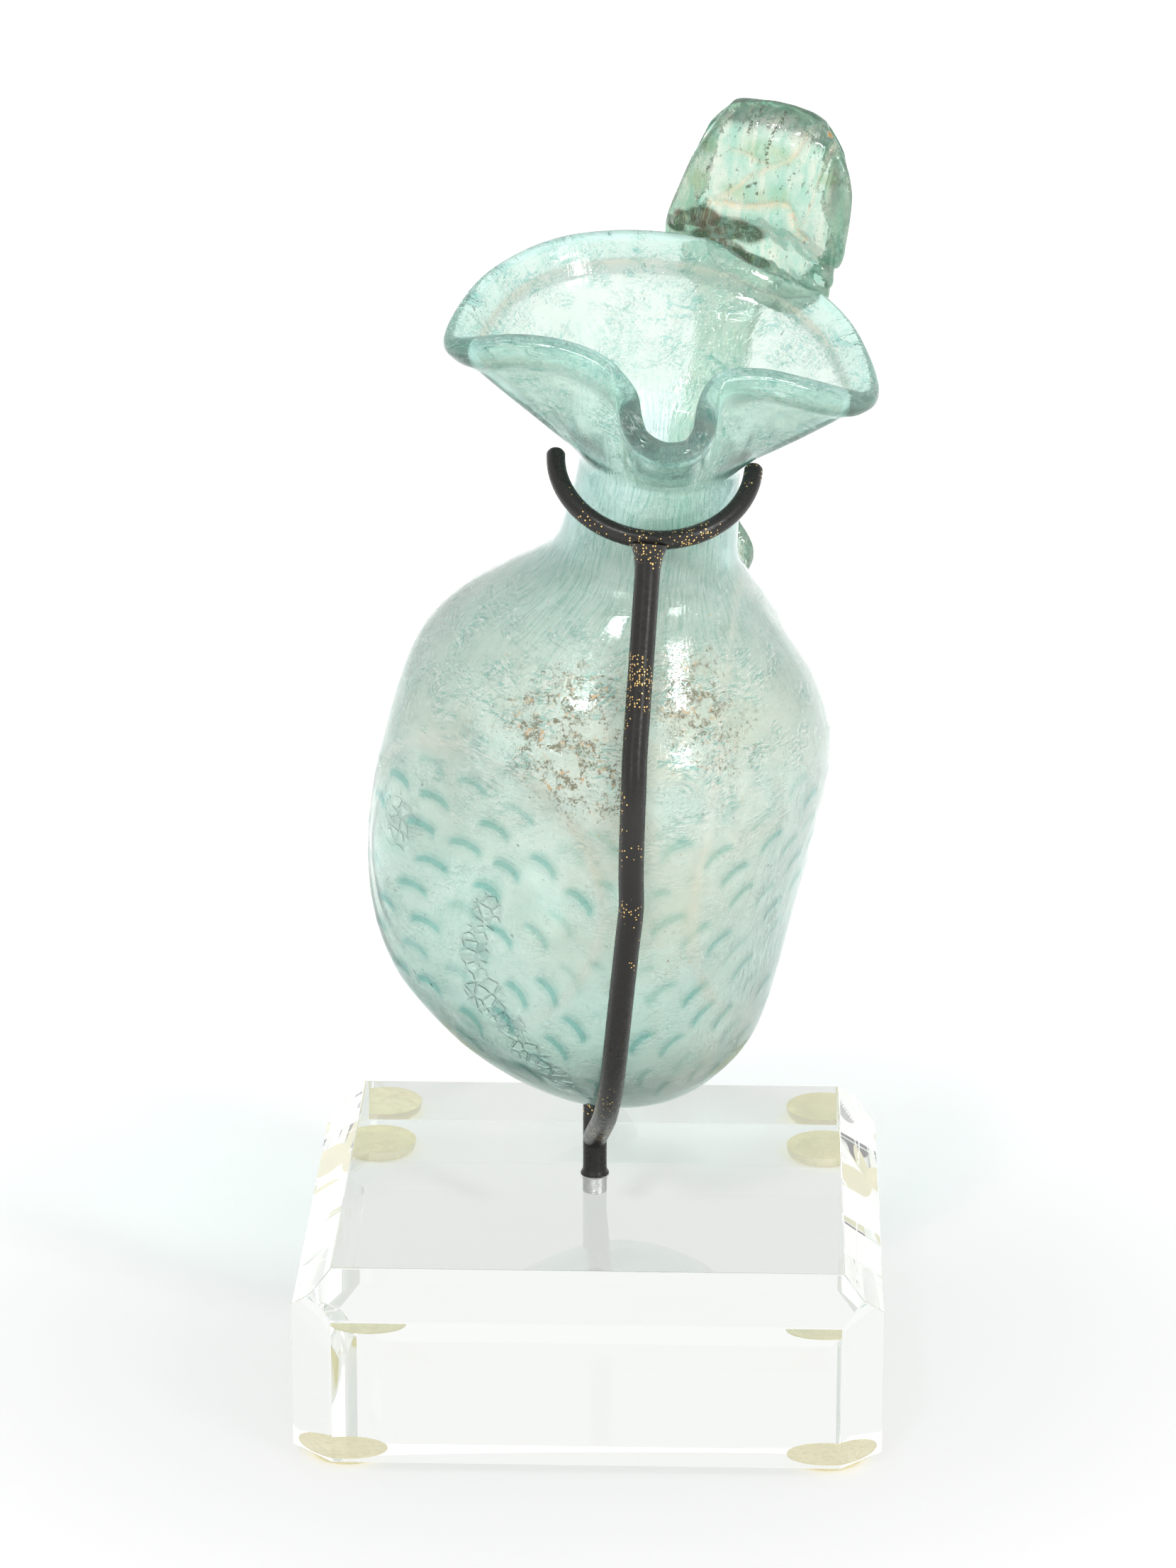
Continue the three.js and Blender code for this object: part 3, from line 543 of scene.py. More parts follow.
def scales(s, turn, height, seed=5):
    """Moulded scale ridges: short arcs in offset rows round the middle of each field.

    Gives their relief, each scale's strength and slip along its row, and the places in the fields.
    """
    generator = np.random.default_rng(seed)
    count = (len(SCALE_FIELDS), SCALE_ROWS, SCALES_IN_ROW)
    strengths = generator.uniform(0.05, 1.0, count) ** 0.8
    slips = generator.uniform(-0.2, 0.2, count)
    field, across, up, edge = field_places(s, turn, height)
    reach = np.hypot(across, up)
    ring = np.round(reach / s.scale_row)
    around = np.arctan2(across, up) * ring * s.scale_row / s.scale_pitch + 0.5 * (ring % 2)
    number = np.round(around)
    place = (number.astype(int) + SCALES_IN_ROW // 2) % SCALES_IN_ROW
    index = (field, np.clip(ring, 0, SCALE_ROWS - 1).astype(int), place)
    slip = slips[index]
    aside = (around - number - slip) * s.scale_pitch
    half = SCALE_HALF_SHARE * s.scale_pitch
    arc = (ring - SCALE_BOW_SHARE * (aside / half) ** 2) * s.scale_row
    line = np.exp(-((reach - arc) / (SCALE_LINE_SHARE * s.scale_row)) ** 2)
    ends = 1 - smoothstep(np.abs(aside) / half, *SCALE_END_SHARES)
    part = height / s.body_height
    spread = smoothstep(part, *SCALE_LOW_SHARES) * smoothstep(edge, *SCALE_GAP)
    spread = spread * (1 - smoothstep(part, *SCALE_HIGH_SHARES))
    strength = strengths[index] * spread * smoothstep(ring, 0.5, 3)
    return line * ends * strength, strength, slip, across, up


# Rows of the jug's mesh: along the body where the scales are, above them, in the flare and round
# the rim's edge. The scales end at a share of the body's height.
BODY_ROWS, NECK_ROWS, FLARE_ROWS, EDGE_ROWS = 112, 48, 40, 10
SCALES_END_SHARE = 0.66

# Size of the blown wall's broad and fine unevenness, with the fine one's share of it, size of the
# inner skin's, and how much of the outer skin's unevenness and scale relief the inner one has.
WANDER_BROAD, WANDER_FINE, WANDER_FINE_SHARE = 0.011, 0.004, 0.3
WANDER_INSIDE, INSIDE_WANDER_SHARE, INSIDE_RIDGE_SHARE = 0.014, 1.6, 0.35

# The weathering is laid out on a body of this share of the plain radius.
WEATHER_GIRTH_SHARE = 0.8

# The fold's seam inside the mouth: its place and half width as shares of the flare, and the
# length of the stretches in which it is strong or faint.
SEAM_SHARE, SEAM_WIDTH_SHARE = 0.865, 0.012
SEAM_BREAKS = 0.012

# The attribute that draws the glass's lines runs round the jug on a circle of this radius, and
# takes this step from row to row over the rim's edge.
SKIN_RADIUS = 0.02
EDGE_STEP = 0.0004


def jug_line_shares(shape, low_rows, high_rows):
    """Shares along the profile: close rows where the scales are, wider ones above."""
    fine = np.linspace(0, 1, 2001)
    line = plain_spline(shape.line, fine)
    middle = np.searchsorted(line[:, 1], SCALES_END_SHARE * shape.s.body_height)
    low = even_shares(line[:middle + 1], low_rows) * fine[middle]
    high = fine[middle] + even_shares(line[middle:], high_rows + 1)[1:] * (1 - fine[middle])
    return np.concatenate([low, high])


def blow_jug(s):
    """The jug's closed glass: outer skin, folded rim and inner skin in one mesh."""
    shape = JugShape(s)
    outer_shares = jug_line_shares(shape, BODY_ROWS, NECK_ROWS)
    flare_shares = np.linspace(0, 1, FLARE_ROWS + 1)[1:]
    rows, turn = shape.outer_rows(s.columns, outer_shares, flare_shares)
    out = outward_directions(rows)
    turns = np.broadcast_to(turn, rows.shape[:2])
    flare = np.concatenate([np.zeros(len(outer_shares)), flare_shares])
    # heights along the jug's line, which stop at the neck's top
    line_height = np.concatenate([plain_spline(shape.line, outer_shares)[:, 1],
                                  np.full(len(flare_shares), shape.neck_top)])
    line_height = np.minimum(line_height, shape.neck_top)
    heights = np.broadcast_to(line_height[:, None], turns.shape)
    body_part = (flare == 0).astype(float)[:, None]
    ridge, strength, slip, field_across, field_up = scales(s, turns, heights)
    ridge, strength = ridge * body_part, strength * body_part
    wander = unevenness(rows, WANDER_BROAD, 1) + WANDER_FINE_SHARE * unevenness(rows, WANDER_FINE, 2)
    pressed, border = (mask * body_part for mask in dishes(turns, heights))
    fold = shape.fold(flare)[:, None]
    lift = s.bead_stand * fold + s.wander * wander * (1 - fold)
    lift = lift + s.scale_ridge * ridge - s.dish_step * pressed
    outer = rows + out * lift[..., None]
    # the rounded edge
    radius = s.rim_bead / 2
    up = rows[-1] - rows[-2]
    up = up / np.linalg.norm(up, axis=-1, keepdims=True)
    angles = np.linspace(0, math.pi, EDGE_ROWS + 2)[1:-1]
    edge = np.stack([outer[-1] - out[-1] * (radius - math.cos(a) * radius) + up * math.sin(a) * radius
                     for a in angles])
    # the inner skin, from the rim down to the foot, with every other row in the body
    neck_row = len(outer_shares) - 1
    keep = np.concatenate([np.arange(0, neck_row, 2), np.arange(neck_row, len(rows))])[::-1]
    thick = shape.thickness(line_height, flare)[:, None]
    inside = unevenness(rows[keep], WANDER_INSIDE, 3)
    inner_lift = (s.bead_stand * fold - thick)[keep]
    inner_lift = inner_lift + INSIDE_WANDER_SHARE * s.wander * inside * (1 - fold[keep])
    inner_lift = inner_lift + INSIDE_RIDGE_SHARE * s.scale_ridge * ridge[keep] - s.dish_step * pressed[keep]
    inner = rows[keep] + out[keep] * inner_lift[..., None]
    grid = np.concatenate([outer, edge, inner])

    def over(values, at_edge):
        """A mask of the outer skin's rows carried over the edge's rows and the inner skin's."""
        return np.concatenate([values, np.full((EDGE_ROWS, s.columns), float(at_edge)), values[keep]])

    turns_all = np.concatenate([turns, np.repeat(turns[-1:], EDGE_ROWS, axis=0), turns[keep]])
    part = heights / s.body_height
    around = s.body_radius * WEATHER_GIRTH_SHARE
    outer_only = np.ones((len(grid), s.columns))
    outer_only[-len(keep):] = 0
    flares = np.broadcast_to(flare[:, None], turns.shape)
    seam_line = np.exp(-((flares - SEAM_SHARE) / SEAM_WIDTH_SHARE) ** 2)
    front_lip = np.exp(-(((turns + math.pi) % (2 * math.pi) - math.pi) / 1.25) ** 4)
    root_lip = 0.88 * np.exp(-((turns - 2.55) / 0.5) ** 4)
    seam_side = 0.45 + 0.55 * smoothstep(unevenness(rows, SEAM_BREAKS, 9), -0.3, 0.3)
    run = np.cumsum(np.concatenate([[0], np.linalg.norm(np.diff(rows[:, 0], axis=0), axis=1)]))
    run_all = np.concatenate([run, run[-1] + EDGE_STEP * np.arange(1, EDGE_ROWS + 1), run[keep]])
    values = {
        "strength": over(strength, 0) * (0.15 + 0.85 * outer_only),
        "slip": over(slip, 0), "across": over(field_across, 0), "up": over(field_up, 0),
        "soil": over(patches(SOIL, turns, heights, around) * body_part, 0) * (0.35 + 0.65 * outer_only),
        "film": over(patches(FILM, turns, heights, around) * body_part, 0),
        "froth": over(patches(FROTH, turns, heights, around) * body_part, 0) * (1 - outer_only),
        "frost": over(smoothstep(part, 0.5, 0.8) * (1 - 0.8 * smoothstep(part, 0.88, 1.0)) * body_part, 0),
        "neck": over(smoothstep(part, 0.78, 0.98) * (1 - smoothstep(flares, 0.0, 0.35)), 0),
        "seam": over(seam_line * seam_side * (np.cos(turns) < 0.45), 0) * (1 - outer_only),
        "mouth": over(smoothstep(flares, 0.02, 0.3), 1),
        "border": over(border, 0),
        "inside": (1 - outer_only) * over(1 - smoothstep(part, 0.8, 0.95), 0),
        "lip": over(front_lip * mix(0.2, 0.62, shape.fold(flares)) * smoothstep(flares, 0.1, 0.5)
                    + (0.12 + root_lip) * shape.fold(flares), 0.6),
        "thick": over(np.maximum(smoothstep(part, 0.84, 1) * body_part,
                                 1 - smoothstep(part, 0.08, 0.36)), 0),
        "back": over(smoothstep(flares, 0.02, 0.3) * smoothstep(-np.cos(turns), -0.2, 0.3), 0),
    }
    along_skin = np.broadcast_to(run_all[:, None], turns_all.shape)
    skin = np.stack([SKIN_RADIUS * np.sin(turns_all), -SKIN_RADIUS * np.cos(turns_all), along_skin], -1)
    bottom = (float(outer[0, :, 0].mean()), 0, s.kick_depth)
    top = (float(inner[-1, :, 0].mean()), 0, s.kick_depth + s.foot_wall)
    piece = skin_mesh("jug_body", grid, bottom, top, values, {"skin": skin})
    piece.data.transform(shape.matrix)
    return piece


# The handle


# Along the strap from the shoulder to the end of its fold: reach, height, width and thickness as
# shares of the grip's, the thumb rest's and the strap's. Then how far each of these points stands
# off the handle's plane, in millimetres.
STRAP_SHARES = [
    (0.68, -0.14, 0.62, 0.7), (0.62, -0.06, 0.74, 1.1), (0.7, 0.07, 0.42, 1.1), (0.9, 0.32, 0.34, 1),
    (0.98, 0.5, 0.44, 1), (0.985, 0.6, 0.82, 1.15), (1, 0.68, 0.95, 1.15), (1.02, 0.8, 0.98, 0.95),
    (1.03, 0.92, 0.84, 0.9), (0.965, 1, 0.6, 0.9), (0.88, 0.965, 0.76, 0.95), (0.835, 0.87, 0.99, 1),
    (0.82, 0.78, 1.04, 1.15), (0.835, 0.75, 1, 0.75),
]
STRAP_SIDE = np.array([0.2, 0.6, 2, 2.4, 2.4, 1.2, 0, 0, 0, 0, 0, 0, 0, 0])

# The fold's lower corners dip from this share of the strap's length on. The right one begins at
# a share of the thumb rest's width from its middle line, as do its lean and the left one's spread.
DIP_START_SHARE = 0.82
ROOT_DIP_SHARE, ROOT_LEAN_SHARE, LOBE_SPREAD_SHARE = 0.22, 0.2, 0.3

# How far the handle reaches into the jug's skin, where the hot glass joined.
FUSED_DEPTH = 0.0004

# The root that the fold leans on, in millimetres from the rim upwards: reach, place across,
# height, width and thickness.
ROOT = [
    (27.2, -3.2, 105.5, 14, 3.4), (26.3, -3.2, 108.5, 17, 4.4), (25.9, -3, 111, 17.8, 4.2),
    (26.2, -2.9, 113.5, 17.8, 3.7), (26.6, -2.7, 116.5, 18, 4), (27.1, -2.2, 119.5, 17, 4.2),
    (27.3, -2.2, 124, 16, 4), (27, -2.8, 128.5, 12.5, 3.6), (26.8, -3, 131, 8, 2),
]

# Lines over the front of the thumb rest, in millimetres across and up, each with its half width
# and its strength or height: creases that hold cream dirt, ridges, grooves, and rows of dark
# dashes. Two of the ridges are the teal flutes that run down into the root.
CREASES = [
    (((-7.2, 129.8), (-6.5, 127.5), (-4.9, 125.8), (-2.9, 124.7), (-0.7, 123), (1.1, 121.1),
      (3.5, 118.8)), 0.45, 0.75),
    (((2.4, 125.9), (0.2, 125.8), (-1.8, 125.2), (-3.4, 124.9)), 0.4, 0.5),
    (((-10.7, 129.5), (-10.3, 127.1), (-9.8, 124.7), (-9.4, 121.7), (-9, 119.6), (-8.2, 117.8)), 0.2, 0.6),
    (((3.9, 118.8), (1.7, 119.2), (0.1, 119.2), (-2.8, 119.8), (-5.1, 120.8), (-6.4, 120.8), (-7.1, 119.9),
      (-7.8, 117.8), (-8.9, 116.6)), 0.5, 1.0),
]
RIDGES = [
    (((-8, 132.4), (-8.3, 130.8), (-7.5, 129.2), (-7, 127)), 0.45, 0.45),
    (((-10.2, 131.2), (-10.8, 129.4), (-10.4, 127), (-10, 124)), 0.5, 0.4),
    (((0.8, 132), (0.4, 129), (0.2, 126.5)), 0.5, 0.2),
    (((-2.2, 132.4), (-1.6, 129), (-1.4, 126.5)), 0.45, 0.2),
    (((-4.6, 118.6), (-5.5, 115.9), (-6.5, 113.3), (-7.9, 111.5), (-11, 107.9)), 0.9, 0.6),
    (((-7.2, 117.5), (-8.2, 115), (-9.6, 112.6), (-12, 110)), 0.8, 0.4),
    (((8.4, 114.8), (7.6, 116.4), (6, 117.6), (4.4, 118.6)), 0.6, 0.5),
]
FLUTES = RIDGES[4:6]
GROOVES = [
    (((-3.1, 117.8), (-3.5, 114.7), (-4.6, 112.1), (-5.4, 110.3)), 0.35, 0.4),
    (((6.9, 115.9), (6.4, 115.2)), 0.9, 0.5),
]
DASHES = [
    (((-3.4, 132.6), (-3.3, 130.2), (-2.7, 128.4), (-2.4, 127), (-2.8, 124.9)), 0.32, 1.0),
    (((-0.6, 132), (0.2, 129.8), (0.3, 128.2)), 0.3, 0.9),
    (((0.9, 131.4), (1.6, 128.6), (2, 127.4)), 0.3, 0.7),
    (((-5.1, 122.5), (-6.3, 124.5), (-7, 126)), 0.3, 0.8), (((4.7, 124), (5.2, 121.6)), 0.3, 0.8),
    (((-1.8, 122.6), (-0.6, 121.8)), 0.35, 0.8), (((-2, 121.9), (-2.2, 121)), 0.3, 0.8),
]

# Spots on the front of the thumb rest: place across and up, half width and half height, in
# millimetres. Brown murk by the rim, iron stains, pale skin and green streaks.
MURK = [
    (8.7, 114.3, 1.5, 1.1), (6.6, 115.7, 2.2, 1.1), (4.4, 116.3, 2.4, 1.7), (2.2, 115.3, 2.8, 2),
    (-0.3, 115.3, 2.6, 2), (3.8, 113.3, 2.6, 1.6), (1.6, 111.6, 2.6, 1.4), (-1.6, 111.3, 2.8, 0.8),
]
STAINS = [
    (-9.7, 131.6, 0.5, 0.9), (-10.1, 130.1, 0.8, 0.6), (-11, 130.1, 0.4, 0.6), (-6.7, 132.8, 0.25, 0.4),
]
PALE = [
    (-2.6, 129.6, 5, 1.2), (4.4, 123, 3.6, 2.4), (-9.6, 119, 2.4, 4), (-6.2, 124.5, 2.6, 1),
    (8.6, 120, 1.2, 3),
]
MOSS = [
    (-2.6, 126.6, 3.6, 1.5), (-0.6, 121, 3.4, 1.1), (-4.8, 121.6, 1.8, 1.5), (6.6, 128, 1.1, 1.6),
    (5.4, 125.6, 1, 1), (-11, 125, 1.4, 0.8), (6, 121, 1.6, 1.4),
]


def ribbon(middle, sizes, sides, dip=None):
    """Rings of a flat strip of glass along a line that stays upright."""
    tangent = np.gradient(middle, axis=0)
    tangent /= np.linalg.norm(tangent, axis=1, keepdims=True)
    normal = np.stack([tangent[:, 2], 0 * tangent[:, 0], -tangent[:, 0]], -1)
    angles = -np.arange(sides) / sides * 2 * math.pi
    across = (np.sign(np.cos(angles)) * np.abs(np.cos(angles)) ** 0.8)[None, :] * sizes[:, :1] / 2
    through = (np.sign(np.sin(angles)) * np.abs(np.sin(angles)) ** 0.8)[None, :] * sizes[:, 1:2] / 2
    rings = middle[:, None, :] + normal[:, None, :] * through[..., None]
    rings[..., 1] += across
    if dip is not None:
        rings[..., 2] -= dip(across)
    return rings


def near_line(points, line):
    """Distance of points from a line of short straight pieces, in the plane of both."""
    away = np.full(len(points), np.inf)
    for start, end in zip(np.array(line[:-1]), np.array(line[1:])):
        step = end - start
        part = np.clip((points - start) @ step / (step @ step), 0, 1)
        away = np.minimum(away, np.linalg.norm(points - start - part[:, None] * step, axis=1))
    return away


def lines_over(points, table):
    """How strongly the lines of a table cover each point."""
    total = np.zeros(len(points))
    for line, width, strength in table:
        total = np.maximum(total, strength * np.exp(-(near_line(points, line) / width) ** 2))
    return total


def spots_over(points, table):
    """How strongly the spots of a table cover each point."""
    total = np.zeros(len(points))
    for across, up, half_width, half_height in table:
        away = ((points[:, 0] - across) / half_width) ** 2 + ((points[:, 1] - up) / half_height) ** 2
        total = np.maximum(total, np.exp(-0.8 * away))
    return total


def trail_handle(s, jug):
    """The strap: a flattened trail of glass, folded over itself into a thumb rest."""
    shape = JugShape(jug)
    table = np.array(STRAP_SHARES)
    grip = jug.mouth_radius + s.grip_stand
    foot = jug.body_height - s.foot_drop
    thumb = shape.mouth_height + s.thumb_rise
    t = np.linspace(0, 1, s.rows)
    route = np.stack([table[:, 0] * grip, 0 * table[:, 0], mix(foot, thumb, table[:, 1])], -1)
    middle = even_spline(route, t)
    sizes = even_spline(np.stack([table[:, 2] * s.thumb_width, table[:, 3] * s.strap_thickness], -1), t)
    risen = smoothstep(middle[:, 2], shape.mouth_height, shape.mouth_height + s.thumb_shift_rise)
    shift = (s.thumb_shift - s.thumb_twist * np.maximum(middle[:, 0] - table[-1, 0] * grip, 0)) * risen
    dip = smoothstep(t, DIP_START_SHARE, 1)[:, None]

    def towards_corner(across, start):
        """How near each place across is to the thumb rest's side, from a share of its width on."""
        return smoothstep(across, start * s.thumb_width, s.thumb_width / 2)

    def dipped(across):
        left = smoothstep(across, s.lobe_start, s.thumb_width / 2)
        return s.lobe_dip * dip * (left + s.root_dip * towards_corner(-across, ROOT_DIP_SHARE))

    rings = ribbon(middle, sizes, s.sides, dipped)
    rings[..., 0] += s.root_lean * dip * towards_corner(-rings[..., 1], ROOT_LEAN_SHARE)
    rings[..., 1] += s.lobe_spread * dip * towards_corner(rings[..., 1], LOBE_SPREAD_SHARE)
    rings[..., 1] += (plain_spline(STRAP_SIDE[:, None] * MM, t)[:, 0] - shift)[:, None]
    strap = skin_mesh("jug_handle", rings, rings[0].mean(axis=0), rings[-1].mean(axis=0), {}, {})
    part = even_spline(np.array(ROOT) * MM, np.linspace(0, 1, 60))
    rings = ribbon(part[:, :3], part[:, 3:], s.sides)
    root = skin_mesh("handle_root", rings, rings[0].mean(axis=0), rings[-1].mean(axis=0), {}, {})
    # the soft glass runs together into one piece
    pick(strap, root)
    bpy.ops.object.join()
    strap.data.remesh_voxel_size = s.grain_size
    bpy.ops.object.voxel_remesh()
    ease = strap.modifiers.new("surface_tension", "SMOOTH")
    ease.iterations = 5
    bpy.ops.object.modifier_apply(modifier=ease.name)
    finish_thumb_rest(strap.data)
    turn = Matrix.Rotation(s.turn - math.pi / 2, 4, "Z")
    strap.data.transform(shape.matrix @ turn)
    cutter = closed_jug(jug, -FUSED_DEPTH)
    trim = strap.modifiers.new("cut_to_the_jug", "BOOLEAN")
    trim.operation = "DIFFERENCE"
    trim.solver = "EXACT"
    trim.object = cutter
    pick(strap)
    bpy.ops.object.modifier_apply(modifier=trim.name)
    bpy.data.objects.remove(cutter)
    strap.data.shade_smooth()
    return strap


# How deep the creases are pressed, and the height and size of the ripples along the strap and of
# the slow swell under them. The front's marks end between these distances from the jug's axis.
CREASE_DEPTH = 0.0003
RIPPLE_HEIGHT, RIPPLE_SIZE = 0.00007, 0.0016
SWELL_HEIGHT, SWELL_SIZE = 0.0004, 0.007
FRONT_END = (0.0262, 0.0275)


def finish_thumb_rest(mesh):
    """Presses the creases and flutes into the strap's front, and marks where dirt sits."""
    count = len(mesh.vertices)
    points, normals = np.empty(count * 3, np.float32), np.empty(count * 3, np.float32)
    mesh.vertices.foreach_get("co", points)
    mesh.vertices.foreach_get("normal", normals)
    points, normals = points.reshape(-1, 3).astype(float), normals.reshape(-1, 3)
    flat = points[:, 1:] / MM
    front = smoothstep(-normals[:, 0], -0.1, 0.35) * (1 - smoothstep(points[:, 0], *FRONT_END))
    crease = lines_over(flat, CREASES) * front
    lift = MM * (lines_over(flat, RIDGES) - lines_over(flat, GROOVES)) * front - CREASE_DEPTH * crease
    # shallow ripples along the strap, over a slow swell
    drawn = points * np.array([1, 1, 0.12])
    lift = lift + RIPPLE_HEIGHT * unevenness(drawn, RIPPLE_SIZE, 11)
    lift = lift + SWELL_HEIGHT * unevenness(points, SWELL_SIZE, 12)
    points_out = points + normals * lift[:, None]
    mesh.vertices.foreach_set("co", points_out.astype(np.float32).ravel())
    marks = {
        "crease": crease, "front": front, "murk": spots_over(flat, MURK) * front,
        "stain": spots_over(flat, STAINS), "moss": spots_over(flat, MOSS) * front,
        "flute": lines_over(flat, FLUTES) * front, "dashes": lines_over(flat, DASHES) * front,
        "pale": spots_over(flat, PALE) * front,
    }
    for key, values in marks.items():
        mesh.attributes.new(key, "FLOAT", "POINT").data.foreach_set("value", values.astype(np.float32))
    spot = mesh.attributes.new("spot", "FLOAT_VECTOR", "POINT")
    spot.data.foreach_set("vector", points.astype(np.float32).ravel())


# Columns and rows of the lump that trims the handle, which is coarser than the jug.
LUMP_COLUMNS, LUMP_ROWS, LUMP_FLARE_ROWS = 144, 30, 20


def closed_jug(s, grown):
    """The jug as one closed lump, moved out by grown, for trimming what is fused to it."""
    shape = JugShape(s)
    flare_shares = np.linspace(0, 1, LUMP_FLARE_ROWS + 1)[1:]
    rows, _ = shape.outer_rows(LUMP_COLUMNS, jug_line_shares(shape, LUMP_ROWS, LUMP_ROWS), flare_shares)
    flare = np.concatenate([np.zeros(2 * LUMP_ROWS), flare_shares])
    out = outward_directions(rows)
    fold = shape.fold(flare)[:, None, None]
    outer = rows + out * (s.bead_stand * fold + grown)
    radius = s.rim_bead / 2
    up = rows[-1] - rows[-2]
    up = up / np.linalg.norm(up, axis=-1, keepdims=True)
    base = rows[-1] + out[-1] * s.bead_stand
    edge = [base - out[-1] * (radius - math.cos(a) * (radius + grown)) + up * math.sin(a) * (radius + grown)
            for a in np.linspace(0, math.pi, 7)[1:]]
    middle = float(outer[0, :, 0].mean())
    piece = skin_mesh("trim_lump", np.concatenate([outer, edge]), (middle, 0, -grown),
                      (middle, 0, shape.mouth_height - s.mouth_rise), {}, {})
    piece.data.transform(shape.matrix)
    return piece


# Working on one piece with the operators


# Points nearer than this count as being at one place or height.
SAME_PLACE = 0.00002


def pick(*pieces):
    """Selects these pieces alone, the first of them active."""
    if bpy.context.object and bpy.context.object.mode != "OBJECT":
        bpy.ops.object.mode_set(mode="OBJECT")
    bpy.ops.object.select_all(action="DESELECT")
    for piece in pieces:
        piece.select_set(True)
    bpy.context.view_layer.objects.active = pieces[0]


def settle(piece):
    """Puts the piece's place into its mesh."""
    pick(piece)
    bpy.ops.object.transform_apply(location=True, rotation=True, scale=True)


def added(name):
    piece = bpy.context.object
    piece.name = name
    piece.data.name = name
    return piece


def wire(name, points, diameter, radii=None, sides=10):
    """A round wire through points, as a curve that is turned into a mesh."""
    bpy.ops.object.select_all(action="DESELECT")
    bpy.ops.curve.primitive_nurbs_path_add()
    piece = added(name)
    curve = piece.data
    curve.splines.clear()
    spline = curve.splines.new("POLY")
    spline.points.add(len(points) - 1)
    for number, (point, place) in enumerate(zip(spline.points, points)):
        point.co = (*place, 1)
        point.radius = 1 if radii is None else radii[number]
    curve.dimensions = "3D"
    curve.twist_mode = "MINIMUM"
    curve.bevel_depth = diameter / 2
    curve.bevel_resolution = sides
    curve.use_fill_caps = True
    pick(piece)
    bpy.ops.object.convert(target="MESH")
    piece = bpy.context.object
    bpy.ops.object.mode_set(mode="EDIT")
    bpy.ops.mesh.select_all(action="SELECT")
    bpy.ops.mesh.remove_doubles(threshold=SAME_PLACE / 4)
    bpy.ops.mesh.normals_make_consistent(inside=False)
    bpy.ops.object.mode_set(mode="OBJECT")
    bpy.ops.object.shade_smooth_by_angle(angle=math.radians(50))
    return piece


def dressed(piece, body, slot, material, *nodes):
    """Gives a piece its material and its place in the model."""
    piece.data.materials.clear()
    piece.data.materials.append(material)
    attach(piece, body)
    if nodes:
        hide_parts(*nodes)
    return piece


# The wire mount


# The burr at the post's foot, as height and share of the rod's radius, then the heights of the
# plain rings above it, the length of its rounded tip and the radius share at the tip's end.
POST_BURR = np.array([(0, 1.1), (0.00012, 1.2), (0.0003, 1.19), (0.0006, 1.08), (0.0009, 1.01), (0.0016, 1)])
POST_RINGS = [0.004, 0.007, 0.0105]
POST_TIP = 0.0005
POST_TIP_SHARE = 0.72

# The upright follows the jug's front between these heights, and its sideways bend is full at the
# last one, all as shares of the body's height.
UPRIGHT_LOW_SHARE, UPRIGHT_HIGH_SHARE, UPRIGHT_BENT_SHARE = 0.05, 0.825, 0.575

# How far from the middle of the ring's wire the upright ends, as a share of that wire's radius.
BRAZE_SINK_SHARE = 0.6

# How much of the wire's radius the ring's cut ends lose, and over which angle.
RING_END_LOSS_SHARE, RING_END_ANGLE = 0.22, 0.03


def to_world(shape, points):
    rotation = np.array(shape.matrix.to_3x3())
    return np.asarray(points) @ rotation.T + np.array(shape.matrix.translation)


def neck_front(shape, height):
    """How far the jug's front stands from its axis at a height."""
    shares = np.linspace(0, 1, 801)
    line = shape.body_point(shares, 0 * shares)
    return float(np.interp(height, line[:, 2], -line[:, 1]))


def ring_points(s, shape, angles):
    front = neck_front(shape, s.ring_height - s.ring_wire / 2) + s.stand + s.ring_wire / 2
    back = s.ring_radius * (1 - np.cos(angles))
    return to_world(shape, np.stack([
        s.ring_radius * np.sin(angles), -front + back * math.cos(s.ring_tilt),
        s.ring_height + back * math.sin(s.ring_tilt)], -1))


def before_belly(s, shape, along):
    """A point at a given sideways place, off the jug's front by the wire's radius and its air."""
    height = plain_spline(shape.line, along)[1]
    x = mix(s.foot_x, s.belly_x, min(1, height / (UPRIGHT_BENT_SHARE * shape.s.body_height)))
    turn = 0.0

    def at(a, b):
        return shape.body_point(np.array(a), np.array(b))

    for _ in range(6):
        point = at(along, turn)
        turn += (x - to_world(shape, point)[0]) / math.hypot(point[0], point[1])
    point = at(along, turn)
    up = at(along + 0.01, turn) - at(along - 0.01, turn)
    right = at(along, turn + 0.01) - at(along, turn - 0.01)
    out = np.cross(right, up)
    return to_world(shape, point + out / np.linalg.norm(out) * (s.rod_diameter / 2 + s.stand))


def upright_route(s, shape):
    block_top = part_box("acrylic_base")[1][2]
    route = [np.array([0, 0, block_top + s.braze_height])]
    spans = 2 * (len(shape.line) - 1)
    for row in range(spans):
        height = plain_spline(shape.line, row / spans)[1] / shape.s.body_height
        if UPRIGHT_LOW_SHARE < height < UPRIGHT_HIGH_SHARE:
            route.append(before_belly(s, shape, row / spans))
    ring_front = ring_points(s, shape, np.array([0.0]))[0]
    belly = route[-1]
    inside_ring = s.ring_wire / 2 * BRAZE_SINK_SHARE
    end = ring_front + (belly - ring_front) * inside_ring / np.linalg.norm(ring_front - belly)
    route += [(belly + end) / 2, end]
    return np.array(route)


def flared(run, total, radius, spread, reach):
    """Radius shares along a wire that spreads into a braze fillet at its upper end."""
    return 1 + spread / radius * np.clip(1 - (total - run) / reach, 0, 1) ** 3


